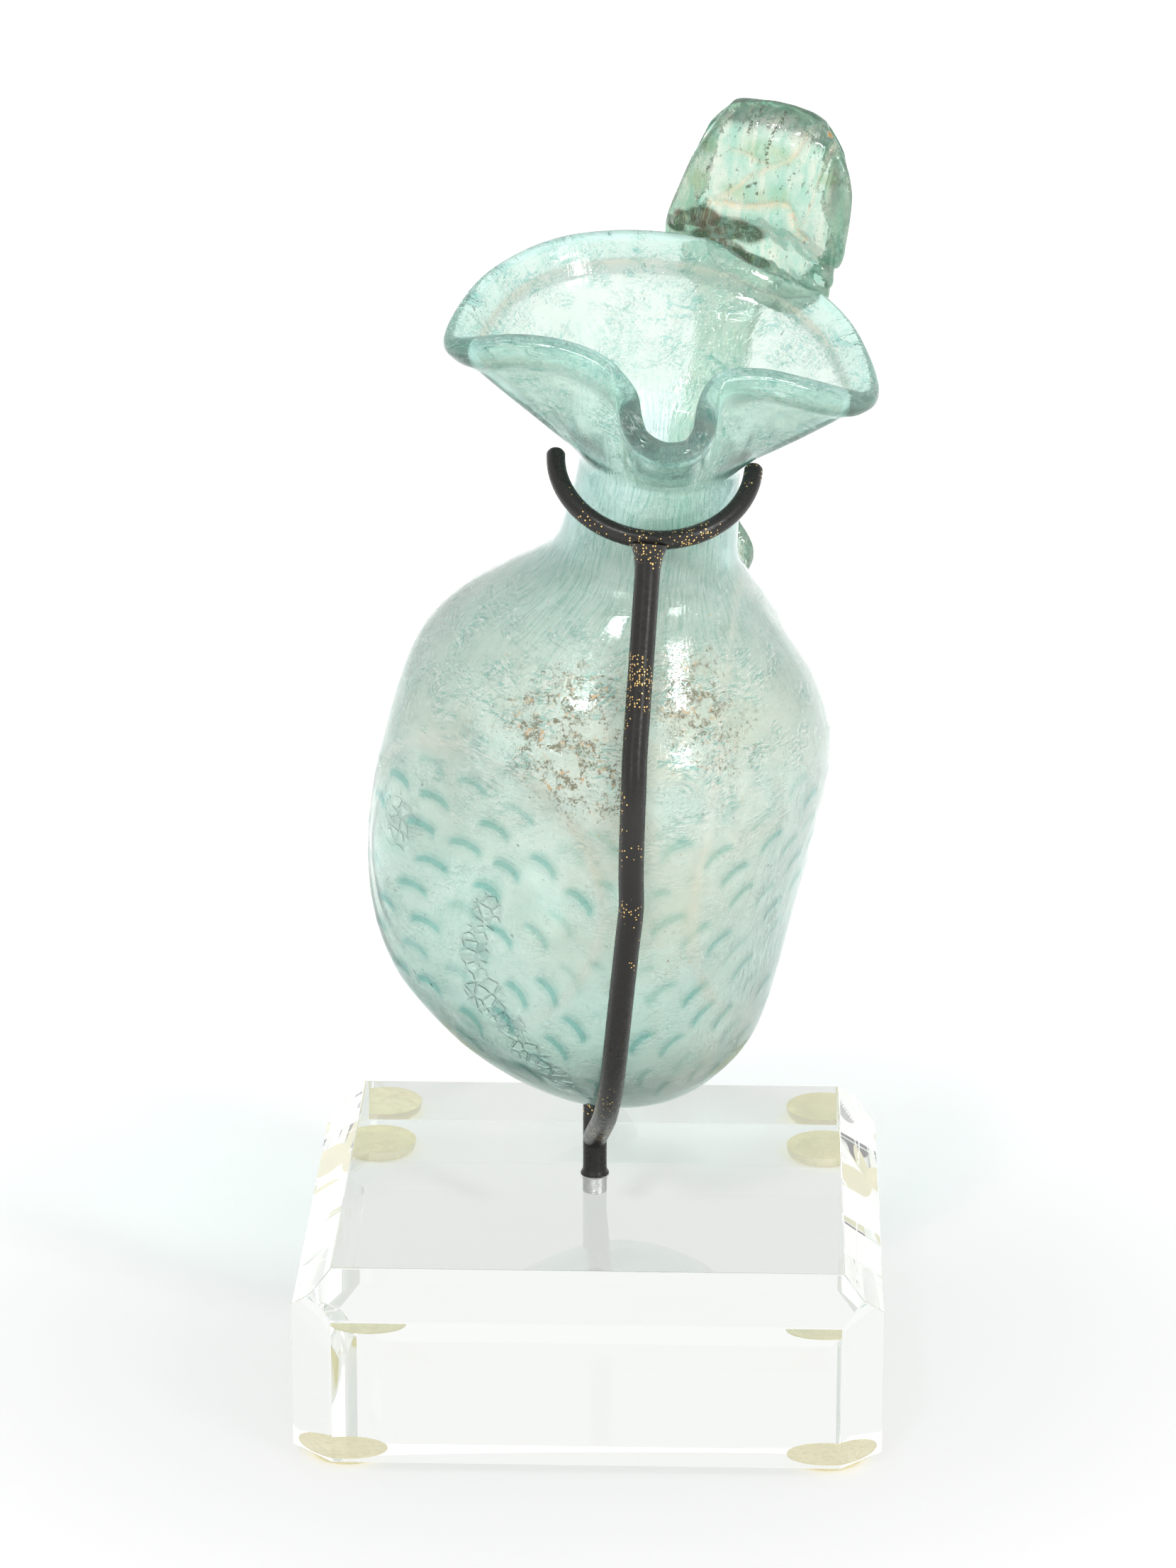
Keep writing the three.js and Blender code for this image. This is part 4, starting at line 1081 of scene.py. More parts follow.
class OBJECT_OT_wire_mount(bpy.types.Operator):
    """Builds the ring, the upright and the post of the wire mount"""

    bl_idname = "object.jug_wire_mount"
    bl_label = "Wire mount"

    def execute(self, context):
        s = context.scene.mount_sizes
        shape = JugShape(context.scene.jug_sizes)
        paint = painted_brass("worn_black_paint")
        # the ring, its cut ends a little rounded
        angles = np.linspace(-s.ring_half_arc, s.ring_half_arc, 97)
        to_end = s.ring_half_arc - np.abs(angles)
        radii = 1 - RING_END_LOSS_SHARE * np.clip(1 - to_end / RING_END_ANGLE, 0, 1) ** 2
        ring = wire("neck_ring_wire", ring_points(s, shape, angles), s.ring_wire, radii)
        dressed(ring, "wire_mount", "black_paint", paint, "neck_ring")
        # the upright, brazed to the post below and to the ring above
        fine = np.linspace(0, 1, 181)
        points = even_spline(upright_route(s, shape), fine)
        run = np.concatenate([[0], np.cumsum(np.linalg.norm(np.diff(points, axis=0), axis=1))])
        radii = flared(run, run[-1], s.rod_diameter / 2, s.braze_spread, s.braze_length + s.rod_diameter / 2)
        upright = wire("upright_wire", points, s.rod_diameter, radii, sides=14)
        dressed(upright, "wire_mount", "black_paint", paint, "front_upright")
        # the post, with the burr that the cutter left at its foot
        block_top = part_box("acrylic_base")[1][2]
        post_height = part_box("support_post")[1][2] - block_top
        heights = np.concatenate([POST_BURR[:, 0], POST_RINGS])
        heights = heights[heights < post_height - 2 * POST_TIP]
        heights = np.append(heights, [post_height - POST_TIP, post_height])
        radii = np.interp(heights, *POST_BURR.T)
        radii[-1] = POST_TIP_SHARE
        places = [(0, 0, block_top + h) for h in heights]
        post = wire("foot_post", places, s.rod_diameter, radii, sides=14)
        dressed(post, "wire_mount", "black_paint", paint, "support_post")
        return {"FINISHED"}


class OBJECT_OT_jug_glass(bpy.types.Operator):
    """Blows the jug's body, neck and mouth"""

    bl_idname = "object.jug_glass"
    bl_label = "Jug"

    def execute(self, context):
        piece = blow_jug(context.scene.jug_sizes)
        dressed(piece, "jug", "aqua_glass", aqua_glass("weathered_aqua_glass"), "vessel_body")
        return {"FINISHED"}


class OBJECT_OT_jug_handle(bpy.types.Operator):
    """Trails the strap handle and folds its thumb rest"""

    bl_idname = "object.jug_handle"
    bl_label = "Handle"

    def execute(self, context):
        piece = trail_handle(context.scene.handle_sizes, context.scene.jug_sizes)
        dressed(piece, "jug", "handle_glass", handle_glass("trailed_aqua_glass"), "handle")
        return {"FINISHED"}


class OBJECT_OT_acrylic_block(bpy.types.Operator):
    """Cuts, bevels and polishes the acrylic block"""

    bl_idname = "object.jug_acrylic_block"
    bl_label = "Acrylic block"

    def execute(self, context):
        s = context.scene.block_sizes
        low, high = (Vector(corner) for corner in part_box("acrylic_base"))
        bpy.ops.object.select_all(action="DESELECT")
        bpy.ops.mesh.primitive_cube_add(size=1, location=(low + high) / 2, scale=high - low)
        block = added("acrylic_block")
        settle(block)
        half = (high - low) / 2
        for sx, sy in ((1, 1), (1, -1), (-1, 1), (-1, -1)):
            corner = Vector((sx * (half.x - s.corner_cut / 2), sy * (half.y - s.corner_cut / 2), 0))
            slice_off(block, corner, Vector((sx, sy, 0)))
        for side, reach in (((1, 0), half.x), ((-1, 0), half.x), ((0, 1), half.y), ((0, -1), half.y)):
            out = Vector((*side, 0))
            slice_off(block, out * (reach - s.edge_bevel / 2) + Vector((0, 0, high.z - s.edge_bevel / 2)),
                      out + Vector((0, 0, 1)))
        soften = block.modifiers.new("polished_edges", "BEVEL")
        soften.width = s.polish
        soften.segments = 2
        soften.limit_method = "ANGLE"
        soften.angle_limit = math.radians(20)
        pick(block)
        bpy.ops.object.modifier_apply(modifier=soften.name)
        bpy.ops.object.shade_smooth_by_angle(angle=math.radians(12))
        dressed(block, "base", "clear_acrylic", clear_acrylic("polished_acrylic"), "acrylic_base")
        return {"FINISHED"}


def slice_off(piece, place, out):
    """Cuts off what lies beyond a plane and closes the cut."""
    pick(piece)
    bpy.ops.object.mode_set(mode="EDIT")
    bpy.ops.mesh.select_all(action="SELECT")
    bpy.ops.mesh.bisect(plane_co=place, plane_no=out, use_fill=True, clear_outer=True)
    bpy.ops.object.mode_set(mode="OBJECT")


# The stud: points round it and rows for each turn of its thread, how far the thread takes to run
# in at the foot, between which depths it runs out, the share of its radius that its end keeps,
# and its spigot as height over the block and share of the stud's radius, with the spigot's tip.
STUD_SIDES, STUD_ROWS_PER_TURN = 32, 8
THREAD_RUN_IN = 0.0006
THREAD_RUN_OUT = (0.0008, 0.0004)
STUD_END_SHARE = 0.82
SPIGOT = [(0.0001, 0.28), (0.004, 0.28), (0.0052, 0.2)]
SPIGOT_TIP = 0.0053


class OBJECT_OT_threaded_stud(bpy.types.Operator):
    """Turns the stud and cuts its thread"""

    bl_idname = "object.jug_threaded_stud"
    bl_label = "Threaded stud"

    def execute(self, context):
        s = context.scene.block_sizes
        low, high = (Vector(corner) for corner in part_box("base_stud"))
        block_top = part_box("acrylic_base")[1][2]
        radius = (high.x - low.x) / 2
        # level rings whose radius dips into the groove where the helix passes
        depth = block_top - low.z
        rows = int(depth / s.thread_pitch * STUD_ROWS_PER_TURN)
        turn = np.arange(STUD_SIDES)[None, :] / STUD_SIDES * 2 * math.pi
        z = low.z + np.linspace(0, 1, rows)[:, None] * depth + 0 * turn
        wave = np.abs(((z - low.z) / s.thread_pitch - turn / (2 * math.pi)) % 1 - 0.5) * 2
        groove = s.thread_depth * smoothstep(wave, 0.25, 0.85) * smoothstep(z - low.z, 0, THREAD_RUN_IN)
        groove = groove * (1 - smoothstep(z, *(block_top - end for end in THREAD_RUN_OUT)))
        r = radius - groove
        r[0] *= STUD_END_SHARE
        rings = [*np.stack([r * np.cos(turn), r * np.sin(turn), z], -1)]
        # the spigot stays inside the post
        for height, size in SPIGOT:
            x, y = size * radius * np.cos(turn[0]), size * radius * np.sin(turn[0])
            rings.append(np.stack([x, y, 0 * x + block_top + height], -1))
        tip = (0, 0, block_top + SPIGOT_TIP)
        piece = skin_mesh("stud", np.array(rings), (0, 0, low.z), tip, {}, {})
        pick(piece)
        bpy.ops.object.shade_smooth_by_angle(angle=math.radians(40))
        dressed(piece, "base", "stud_steel", thread_steel("stud_thread"), "base_stud")
        return {"FINISHED"}


# How far a pad's top is pressed into the block, so that no air shows between them.
PAD_SQUASH = 0.00005


class OBJECT_OT_bumper_pads(bpy.types.Operator):
    """Moulds the four round pads under the block"""

    bl_idname = "object.jug_bumper_pads"
    bl_label = "Bumper pads"

    def execute(self, context):
        s = context.scene.block_sizes
        rubber = pad_rubber("yellowed_pad")
        for node in [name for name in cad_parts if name.startswith("foot_pad_")]:
            low, high = (Vector(corner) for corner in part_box(node))
            high.z += PAD_SQUASH
            bpy.ops.object.select_all(action="DESELECT")
            bpy.ops.mesh.primitive_cylinder_add(
                vertices=64, radius=(high.x - low.x) / 2, depth=high.z - low.z, location=(low + high) / 2)
            pad = added(node.replace("foot_pad", "bumper"))
            settle(pad)
            cut_round(pad, low.z, s.pad_round)
            dressed(pad, "base", "pad_rubber", rubber, node)
        return {"FINISHED"}


def cut_round(piece, z, width):
    """Rounds the edges of a piece that lie at height z."""
    pick(piece)
    bpy.ops.object.mode_set(mode="EDIT")
    bpy.ops.mesh.select_mode(type="EDGE")
    bpy.ops.mesh.select_all(action="DESELECT")
    work = bmesh.from_edit_mesh(piece.data)
    for edge in work.edges:
        edge.select = all(abs(v.co.z - z) < SAME_PLACE for v in edge.verts)
    bmesh.update_edit_mesh(piece.data)
    bpy.ops.mesh.bevel(offset_type="OFFSET", offset=width, segments=6, profile=0.5)
    bpy.ops.object.mode_set(mode="OBJECT")
    bpy.ops.object.shade_smooth_by_angle(angle=math.radians(40))


# Materials


# How strongly each clear material takes on its colour, for each metre of depth.
GLASS_DENSITY, STRAP_DENSITY, ACRYLIC_DENSITY = 120, 55, 0.5


class Recipe:
    """A material under construction."""

    def __init__(self, name):
        self.material = bpy.data.materials.new(name)
        self.material.use_nodes = True
        self.tree = self.material.node_tree
        self.tree.nodes.clear()
        self.out = self.add("ShaderNodeOutputMaterial")

    def add(self, kind, inputs=None, **settings):
        made = self.tree.nodes.new(kind)
        for key, value in settings.items():
            setattr(made, key, value)
        for key, value in (inputs or {}).items():
            socket = made.inputs[key]
            if isinstance(value, bpy.types.NodeSocket):
                self.tree.links.new(value, socket)
            else:
                socket.default_value = value
        return made

    def math(self, operation, a, b=0.0, clamp=False):
        return self.add("ShaderNodeMath", {0: a, 1: b}, operation=operation, use_clamp=clamp).outputs[0]

    def ramp(self, value, low, high, to_low=0.0, to_high=1.0):
        made = self.add("ShaderNodeMapRange", {"Value": value, "From Min": low, "From Max": high,
                                               "To Min": to_low, "To Max": to_high},
                        interpolation_type="SMOOTHSTEP")
        return made.outputs[0]

    def blend(self, factor, a, b):
        a, b = (c if isinstance(c, bpy.types.NodeSocket) else (*c, 1) for c in (a, b))
        return self.add("ShaderNodeMix", {0: factor, 6: a, 7: b}, data_type="RGBA").outputs[2]

    def noise(self, vector, scale, detail=2.0, roughness=0.5, distortion=0.0):
        return self.add("ShaderNodeTexNoise", {"Vector": vector, "Scale": scale, "Detail": detail,
                                               "Roughness": roughness, "Distortion": distortion}).outputs[0]

    def cells(self, vector, scale, feature="F1", randomness=1.0):
        return self.add("ShaderNodeTexVoronoi", {"Vector": vector, "Scale": scale, "Randomness": randomness},
                        feature=feature).outputs[0]

    def stretch(self, vector, scale):
        return self.add("ShaderNodeMapping", {"Vector": vector, "Scale": scale}).outputs[0]

    def place(self):
        return self.add("ShaderNodeTexCoord").outputs["Object"]

    def value(self, name):
        return self.add("ShaderNodeAttribute", attribute_name=name).outputs["Fac"]

    def vector(self, name):
        return self.add("ShaderNodeAttribute", attribute_name=name).outputs["Vector"]

    def bump(self, height, distance, strength=1.0, normal=None):
        inputs = {"Height": height, "Distance": distance, "Strength": strength}
        if normal is not None:
            inputs["Normal"] = normal
        return self.add("ShaderNodeBump", inputs).outputs[0]

    def lets_lamps_through(self, surface, tint, soft_light=False):
        """The surface for what looks at it, and a clear tint for the lamps' and the soft light."""
        path = self.add("ShaderNodeLightPath")
        passing = path.outputs["Is Shadow Ray"]
        if soft_light:
            passing = self.math("MAXIMUM", passing, path.outputs["Is Diffuse Ray"])
        clear = self.add("ShaderNodeBsdfTransparent", {"Color": (*tint, 1)})
        both = self.add("ShaderNodeMixShader", {0: passing, 1: surface, 2: clear.outputs[0]})
        self.tree.links.new(both.outputs[0], self.out.inputs["Surface"])

    def depth(self, colour, density):
        volume = self.add("ShaderNodeVolumeAbsorption", {"Color": (*colour, 1), "Density": density})
        self.tree.links.new(volume.outputs[0], self.out.inputs["Volume"])

    def surface(self, shader):
        self.tree.links.new(shader.outputs[0], self.out.inputs["Surface"])


def scale_lines(r, s):
    """The scale ridges as thin lines: the same rows of arcs as in the relief."""
    across, up = r.value("across"), r.value("up")
    reach = r.math("SQRT", r.math("ADD", r.math("POWER", across, 2.0), r.math("POWER", up, 2.0)))
    ring = r.math("ROUND", r.math("DIVIDE", reach, s.scale_row))
    per_turn = r.math("MULTIPLY", ring, s.scale_row / s.scale_pitch)
    around = r.math("MULTIPLY", r.math("ARCTAN2", across, up), per_turn)
    around = r.math("ADD", around, r.math("MULTIPLY", r.math("MODULO", ring, 2.0), 0.5))
    off = r.math("SUBTRACT", r.math("SUBTRACT", around, r.math("ROUND", around)), r.value("slip"))
    aside = r.math("ABSOLUTE", r.math("DIVIDE", off, SCALE_HALF_SHARE))
    bow = r.math("MULTIPLY", r.math("POWER", aside, 2.0), SCALE_BOW_SHARE)
    arc = r.math("SUBTRACT", ring, bow)
    away = r.math("ABSOLUTE", r.math("SUBTRACT", r.math("DIVIDE", reach, s.scale_row), arc))
    fray = r.noise(r.place(), 700, 2, 0.6)
    ragged = r.math("ADD", away, r.math("MULTIPLY", r.math("SUBTRACT", fray, 0.5), 0.08))
    line = r.math("MAXIMUM", r.ramp(ragged, 0.17, 0.07), r.ramp(ragged, 0.36, 0.1, 0.0, 0.45))
    ends = r.ramp(aside, 1.3, 0.7)
    strength = r.math("MULTIPLY", r.value("strength"), 2.2, clamp=True)
    return r.math("MULTIPLY", r.math("MULTIPLY", line, ends), strength)


def aqua_glass(name):
    """Blown glass with scale ridges, striations, a milky skin, dry film and soil."""
    f = bpy.context.scene.finishes
    r = Recipe(name)
    skin, place = r.vector("skin"), r.place()
    soil, film, froth, lip = r.value("soil"), r.value("film"), r.value("froth"), r.value("lip")
    border, inside, back, thick = r.value("border"), r.value("inside"), r.value("back"), r.value("thick")
    frost, neck, seam, mouth = r.value("frost"), r.value("neck"), r.value("seam"), r.value("mouth")
    ridge = scale_lines(r, bpy.context.scene.jug_sizes)
    # fine drawn lines, long up the neck and the mouth, short and level on the shoulder
    bent = r.add("ShaderNodeTexNoise", {"Vector": place, "Scale": 90.0, "Detail": 2.0}).outputs[1]
    bent = r.add("ShaderNodeVectorMath", {0: bent, "Scale": 0.006}, operation="SCALE").outputs[0]
    swept = r.add("ShaderNodeVectorMath", {0: skin, 1: bent}, operation="ADD").outputs[0]
    drawn = r.noise(r.stretch(swept, (1700, 1700, 130)), 1.0, 3, 0.65)
    level = r.noise(r.stretch(swept, (620, 620, 3000)), 1.0, 3, 0.7)
    aslant = r.add("ShaderNodeMapping", {"Vector": swept, "Rotation": (0.9, 0.5, 0.4)}).outputs[0]
    tilted = r.noise(r.stretch(aslant, (500, 3000, 3000)), 1.0, 3, 0.7)
    grain = r.noise(place, 1500, 3, 0.7)
    cloud = r.noise(place, 85, 3, 0.55)
    veil = r.noise(r.stretch(swept, (60, 60, 110)), 1.0, 4, 0.6)
    patchy = r.ramp(r.noise(place, 230, 3, 0.6), 0.42, 0.62)
    scratch = r.ramp(drawn, 0.5, 0.6)
    dashes = r.math("MAXIMUM", r.ramp(level, 0.545, 0.6), r.ramp(tilted, 0.56, 0.62))
    dashes = r.math("MULTIPLY", dashes, patchy)
    upper = r.math("MAXIMUM", r.math("MAXIMUM", frost, mouth), 0.32)
    nicks = r.math("MAXIMUM", r.ramp(level, 0.455, 0.4), r.ramp(tilted, 0.44, 0.385))
    nicks = r.math("MULTIPLY", r.math("MULTIPLY", nicks, patchy), upper)
    # bubbles and froth
    bubbles = r.ramp(r.cells(r.stretch(skin, (1.6, 1.6, 1.0)), 420), 0.16, 0.05)
    sparse = r.ramp(r.noise(place, 260, 1), 0.58, 0.66)
    foam_cells = r.cells(place, 520, randomness=0.9)
    rims = r.cells(place, 620, feature="DISTANCE_TO_EDGE")
    foam = r.math("MAXIMUM", r.ramp(foam_cells, 0.42, 0.2, 0.0, 0.7), r.ramp(rims, 0.16, 0.05))
    foam = r.math("MULTIPLY", foam, r.ramp(froth, 0.3, 0.7))
    foam_soft = r.math("MULTIPLY", r.ramp(r.noise(place, 420, 3, 0.65), 0.42, 0.6), r.ramp(froth, 0.2, 0.7))
    # soil sits in pits: small irregular grains where the patches are
    soil_grain = r.noise(place, 2100, 5, 0.85, 1.0)
    soil_cloud = r.noise(place, 430, 5, 0.8)
    soil_amount = r.math("MULTIPLY", soil, r.ramp(soil_cloud, 0.4, 0.56))
    threshold = r.math("SUBTRACT", 0.64, r.math("MULTIPLY", soil_amount, 0.172))
    soil_mask = r.math("MULTIPLY", r.ramp(r.math("SUBTRACT", soil_grain, threshold), -0.01, 0.03), 0.9)
    soil_tone = r.blend(r.ramp(r.noise(place, 900, 2), 0.56, 0.64), f.soil, f.rust)
    film_mask = r.math("MULTIPLY", film, r.ramp(cloud, 0.33, 0.58))
    # colour of what the light passes through
    tint = r.blend(r.math("MULTIPLY", thick, 0.9), f.glass_face, f.glass_thick)
    tint = r.blend(ridge, tint, f.ridge)
    tint = r.blend(r.math("MULTIPLY", lip, 0.85), tint, f.lip)
    tint = r.blend(r.math("MULTIPLY", mouth, 0.3), tint, f.mouth)
    tint = r.blend(r.math("MULTIPLY", back, 0.95), tint, f.mouth_back)
    tint = r.blend(r.math("MULTIPLY", border, r.ramp(cloud, 0.4, 0.6, 0.15, 0.6)), tint, f.dish_border)
    tint = r.blend(r.math("MULTIPLY", r.math("MULTIPLY", scratch, neck), 0.5), tint, f.ridge)
    drawn_mouth = r.math("MULTIPLY", r.math("MULTIPLY", scratch, mouth), r.ramp(cloud, 0.45, 0.65, 0.0, 0.35))
    tint = r.blend(drawn_mouth, tint, f.ridge)
    tint = r.blend(r.math("MULTIPLY", film_mask, 0.7), tint, f.film)
    tint = r.blend(r.math("MULTIPLY", upper, r.ramp(veil, 0.35, 0.65, 0.15, 0.6)), tint, f.frost)
    tint = r.blend(r.math("MULTIPLY", r.math("MULTIPLY", dashes, upper), 0.75), tint, f.ridge)
    tint = r.blend(r.math("MULTIPLY", foam, 0.7), tint, f.froth)
    tint = r.blend(r.math("MULTIPLY", foam_soft, 0.5), tint, f.froth_veil)
    tint = r.blend(r.math("MULTIPLY", seam, 0.85), tint, f.seam)
    tint = r.blend(soil_mask, tint, soil_tone)
    # how clear the glass is
    milky = r.math("MULTIPLY", frost, r.ramp(veil, 0.35, 0.68, 0.08, 0.28))
    milky = r.math("ADD", milky, r.math("MULTIPLY", mouth, r.ramp(veil, 0.4, 0.7, 0.02, 0.14)))
    milky = r.math("ADD", milky, r.math("MULTIPLY", nicks, 0.3))
    milky = r.math("ADD", milky, r.math("MULTIPLY", film_mask, 0.34))
    milky = r.math("ADD", milky, r.math("MULTIPLY", border, 0.2))
    milky = r.math("ADD", milky, r.math("MULTIPLY", foam_soft, 0.2))
    milky = r.math("ADD", milky, r.math("MULTIPLY", seam, 0.6))
    milky = r.math("ADD", milky, r.math("MULTIPLY", soil_mask, 0.85), clamp=True)
    clear = r.math("SUBTRACT", 0.94, milky, clamp=True)
    rough = r.math("ADD", r.ramp(grain, 0.3, 0.7, 0.008, 0.035), r.math("MULTIPLY", frost, 0.02))
    rough = r.math("ADD", rough, r.math("MULTIPLY", inside, 0.12))
    rough = r.math("ADD", rough, r.math("MULTIPLY", soil_mask, 0.5), clamp=True)
    # small relief
    lines = r.bump(drawn, 0.00005, 0.6)
    rough_skin = r.bump(r.noise(place, 420, 4, 0.6), 0.00006, 0.5, lines)
    cuts = r.bump(r.math("MULTIPLY", dashes, upper), 0.00006, 0.5, rough_skin)
    pits = r.bump(r.math("MULTIPLY", bubbles, sparse), 0.00015, 0.6, cuts)
    blisters = r.bump(foam, 0.00012, 0.7, pits)
    glass = r.add("ShaderNodeBsdfPrincipled", {
        "Base Color": tint, "Roughness": rough, "IOR": 1.5, "Transmission Weight": clear, "Normal": blisters})
    r.lets_lamps_through(glass.outputs[0], f.glass_light)
    r.depth(f.glass_depth, GLASS_DENSITY)
    return r.material


def handle_glass(name):
    """Thick trailed glass, streaky along the strap, with cream and dark dirt in its folds."""
    f = bpy.context.scene.finishes
    r = Recipe(name)
    spot, place = r.vector("spot"), r.place()
    crease, front, murk = r.value("crease"), r.value("front"), r.value("murk")
    stain, moss, flute = r.value("stain"), r.value("moss"), r.value("flute")
    dashes, pale = r.value("dashes"), r.value("pale")
    bent = r.add("ShaderNodeTexNoise", {"Vector": spot, "Scale": 120.0, "Detail": 1.0}).outputs[1]
    bent = r.add("ShaderNodeVectorMath", {0: bent, "Scale": 0.0035}, operation="SCALE").outputs[0]
    flow = r.add("ShaderNodeVectorMath", {0: spot, 1: bent}, operation="ADD").outputs[0]
    streak = r.noise(r.stretch(flow, (640, 640, 110)), 1.0, 4, 0.66)
    fine = r.noise(r.stretch(flow, (2400, 2400, 420)), 1.0, 3, 0.7)
    cloud = r.noise(place, 230, 3, 0.6)
    grain = r.noise(place, 1500, 3, 0.75)
    bubbles = r.ramp(r.cells(place, 520), 0.14, 0.04)
    # the tint of the glass, pale and teal streaks beside each other
    tint = r.blend(r.ramp(streak, 0.4, 0.6), f.strap_deep, f.strap_pale)
    tint = r.blend(r.math("MULTIPLY", r.ramp(fine, 0.56, 0.64), 0.5), tint, f.strap_deep)
    tint = r.blend(r.math("MULTIPLY", flute, 0.85), tint, f.flute)
    haze = r.math("MULTIPLY", r.ramp(cloud, 0.42, 0.62), r.ramp(fine, 0.4, 0.58, 0.3, 1.0))
    haze = r.math("MULTIPLY", r.math("MAXIMUM", r.math("MULTIPLY", haze, 0.6), pale), front)
    haze = r.math("MULTIPLY", haze, r.ramp(grain, 0.36, 0.56, 0.4, 1.0))
    tint = r.blend(r.math("MULTIPLY", haze, 0.7), tint, f.strap_haze)
    green = r.math("MULTIPLY", r.ramp(moss, 0.2, 0.8), r.ramp(streak, 0.36, 0.56, 0.35, 1.0))
    tint = r.blend(r.math("MULTIPLY", green, 0.75), tint, f.strap_green)
    # dark dashes in lines along the strap
    dash = r.math("MULTIPLY", r.ramp(dashes, 0.35, 0.75), r.ramp(r.noise(place, 1900, 2, 0.7), 0.47, 0.55))
    grains = r.noise(r.stretch(flow, (1900, 1900, 620)), 1.0, 3, 0.7)
    loose = r.math("MULTIPLY", r.ramp(grains, 0.62, 0.66), front)
    dash = r.math("MAXIMUM", dash, r.math("MULTIPLY", loose, 0.7))
    tint = r.blend(r.math("MULTIPLY", dash, 0.92), tint, f.moss)
    cream = r.math("MULTIPLY", crease, r.ramp(grain, 0.36, 0.56, 0.3, 1.0), clamp=True)
    tint = r.blend(r.math("MULTIPLY", cream, 0.85), tint, f.seam)
    murky = r.math("MULTIPLY", r.ramp(murk, 0.26, 0.56), r.ramp(streak, 0.34, 0.52, 0.65, 1.0))
    dirt = r.blend(r.ramp(cloud, 0.44, 0.56), f.murk_green, f.murk_brown)
    dirt = r.blend(r.math("MULTIPLY", r.ramp(fine, 0.54, 0.62), 0.7), dirt, f.murk_streak)
    tint = r.blend(r.math("MULTIPLY", murky, 0.94), tint, dirt)
    amber = r.math("MULTIPLY", r.ramp(stain, 0.35, 0.6), r.ramp(grain, 0.35, 0.5))
    tint = r.blend(amber, tint, f.amber)
    clear = r.math("SUBTRACT", 0.95, r.math("MULTIPLY", haze, 0.45))
    clear = r.math("SUBTRACT", clear, r.math("MULTIPLY", cream, 0.7))
    clear = r.math("SUBTRACT", clear, r.math("MULTIPLY", murky, 0.5))
    clear = r.math("SUBTRACT", clear, r.math("MULTIPLY", dash, 0.5))
    clear = r.math("SUBTRACT", clear, r.math("MULTIPLY", amber, 0.8), clamp=True)
    rough = r.ramp(grain, 0.3, 0.7, 0.01, 0.04)
    lines = r.bump(streak, 0.00016, 0.6)
    lines = r.bump(fine, 0.00002, 0.5, lines)
    normal = r.bump(bubbles, 0.0001, 0.5, lines)
    glass = r.add("ShaderNodeBsdfPrincipled", {
        "Base Color": tint, "Roughness": rough, "IOR": 1.5, "Transmission Weight": clear, "Normal": normal})
    r.lets_lamps_through(glass.outputs[0], f.glass_light)
    r.depth(f.strap_depth, STRAP_DENSITY)
    return r.material


def clear_acrylic(name):
    """Polished clear acrylic with faint scuffs and stains."""
    f = bpy.context.scene.finishes
    r = Recipe(name)
    place = r.place()
    scuff = r.ramp(r.noise(r.stretch(place, (40, 90, 400)), 2.0, 4, 0.7), 0.7, 0.76)
    stain = r.ramp(r.noise(place, 60, 4, 0.7, 0.6), 0.72, 0.8)
    tint = r.blend(r.math("MULTIPLY", stain, 0.25), f.acrylic, f.acrylic_stain)
    rough = r.math("MULTIPLY", scuff, 0.06)
    acrylic = r.add("ShaderNodeBsdfPrincipled", {
        "Base Color": tint, "Roughness": rough, "IOR": 1.49, "Transmission Weight": 1.0})
    r.lets_lamps_through(acrylic.outputs[0], f.acrylic_light, soft_light=True)
    r.depth(f.acrylic_depth, ACRYLIC_DENSITY)
    return r.material


def painted_brass(name):
    """Brown-black satin paint on brass rod, worn to the metal in specks."""
    f = bpy.context.scene.finishes
    r = Recipe(name)
    place = r.place()
    grains = r.add("ShaderNodeTexVoronoi", {"Vector": place, "Scale": 3400.0}, feature="F1")
    chosen = r.add("ShaderNodeSeparateColor", {0: grains.outputs["Color"]})
    patch = r.ramp(r.noise(place, 95, 2, 0.5), 0.5, 0.68)
    rare = r.math("SUBTRACT", 1.0, r.math("MULTIPLY", patch, 0.5))
    speck = r.math("MULTIPLY", r.ramp(grains.outputs["Distance"], 0.42, 0.3),
                   r.math("GREATER_THAN", chosen.outputs[0], rare))
    bare = r.math("MULTIPLY", speck, r.ramp(patch, 0.02, 0.2))
    grain = r.noise(place, 1500, 3, 0.6)
    tone = r.blend(r.noise(place, 260, 3), f.paint, [c * 1.7 for c in f.paint])
    tone = r.blend(bare, tone, f.brass)
    rough = r.ramp(grain, 0.3, 0.7, 0.22, 0.4)
    normal = r.bump(grain, 0.00005, 0.5)
    normal = r.bump(r.math("SUBTRACT", 1.0, bare), 0.00004, 0.8, normal)
    paint = r.add("ShaderNodeBsdfPrincipled", {
        "Base Color": tone, "Roughness": rough, "Metallic": bare, "Specular IOR Level": 0.36,
        "Normal": normal})
    r.surface(paint)
    return r.material


def thread_steel(name):
    """Dull zinc-grey steel."""
    f = bpy.context.scene.finishes
    r = Recipe(name)
    place = r.place()
    tone = r.blend(r.noise(place, 1500, 3), [c * 0.85 for c in f.steel], f.steel)
    rough = r.ramp(r.noise(place, 2600, 2), 0.3, 0.7, 0.3, 0.5)
    normal = r.bump(r.noise(place, 3000), 0.00002, 0.5)
    steel = r.add("ShaderNodeBsdfPrincipled", {
        "Base Color": tone, "Roughness": rough, "Metallic": 0.7, "Normal": normal})
    r.surface(steel)
    return r.material


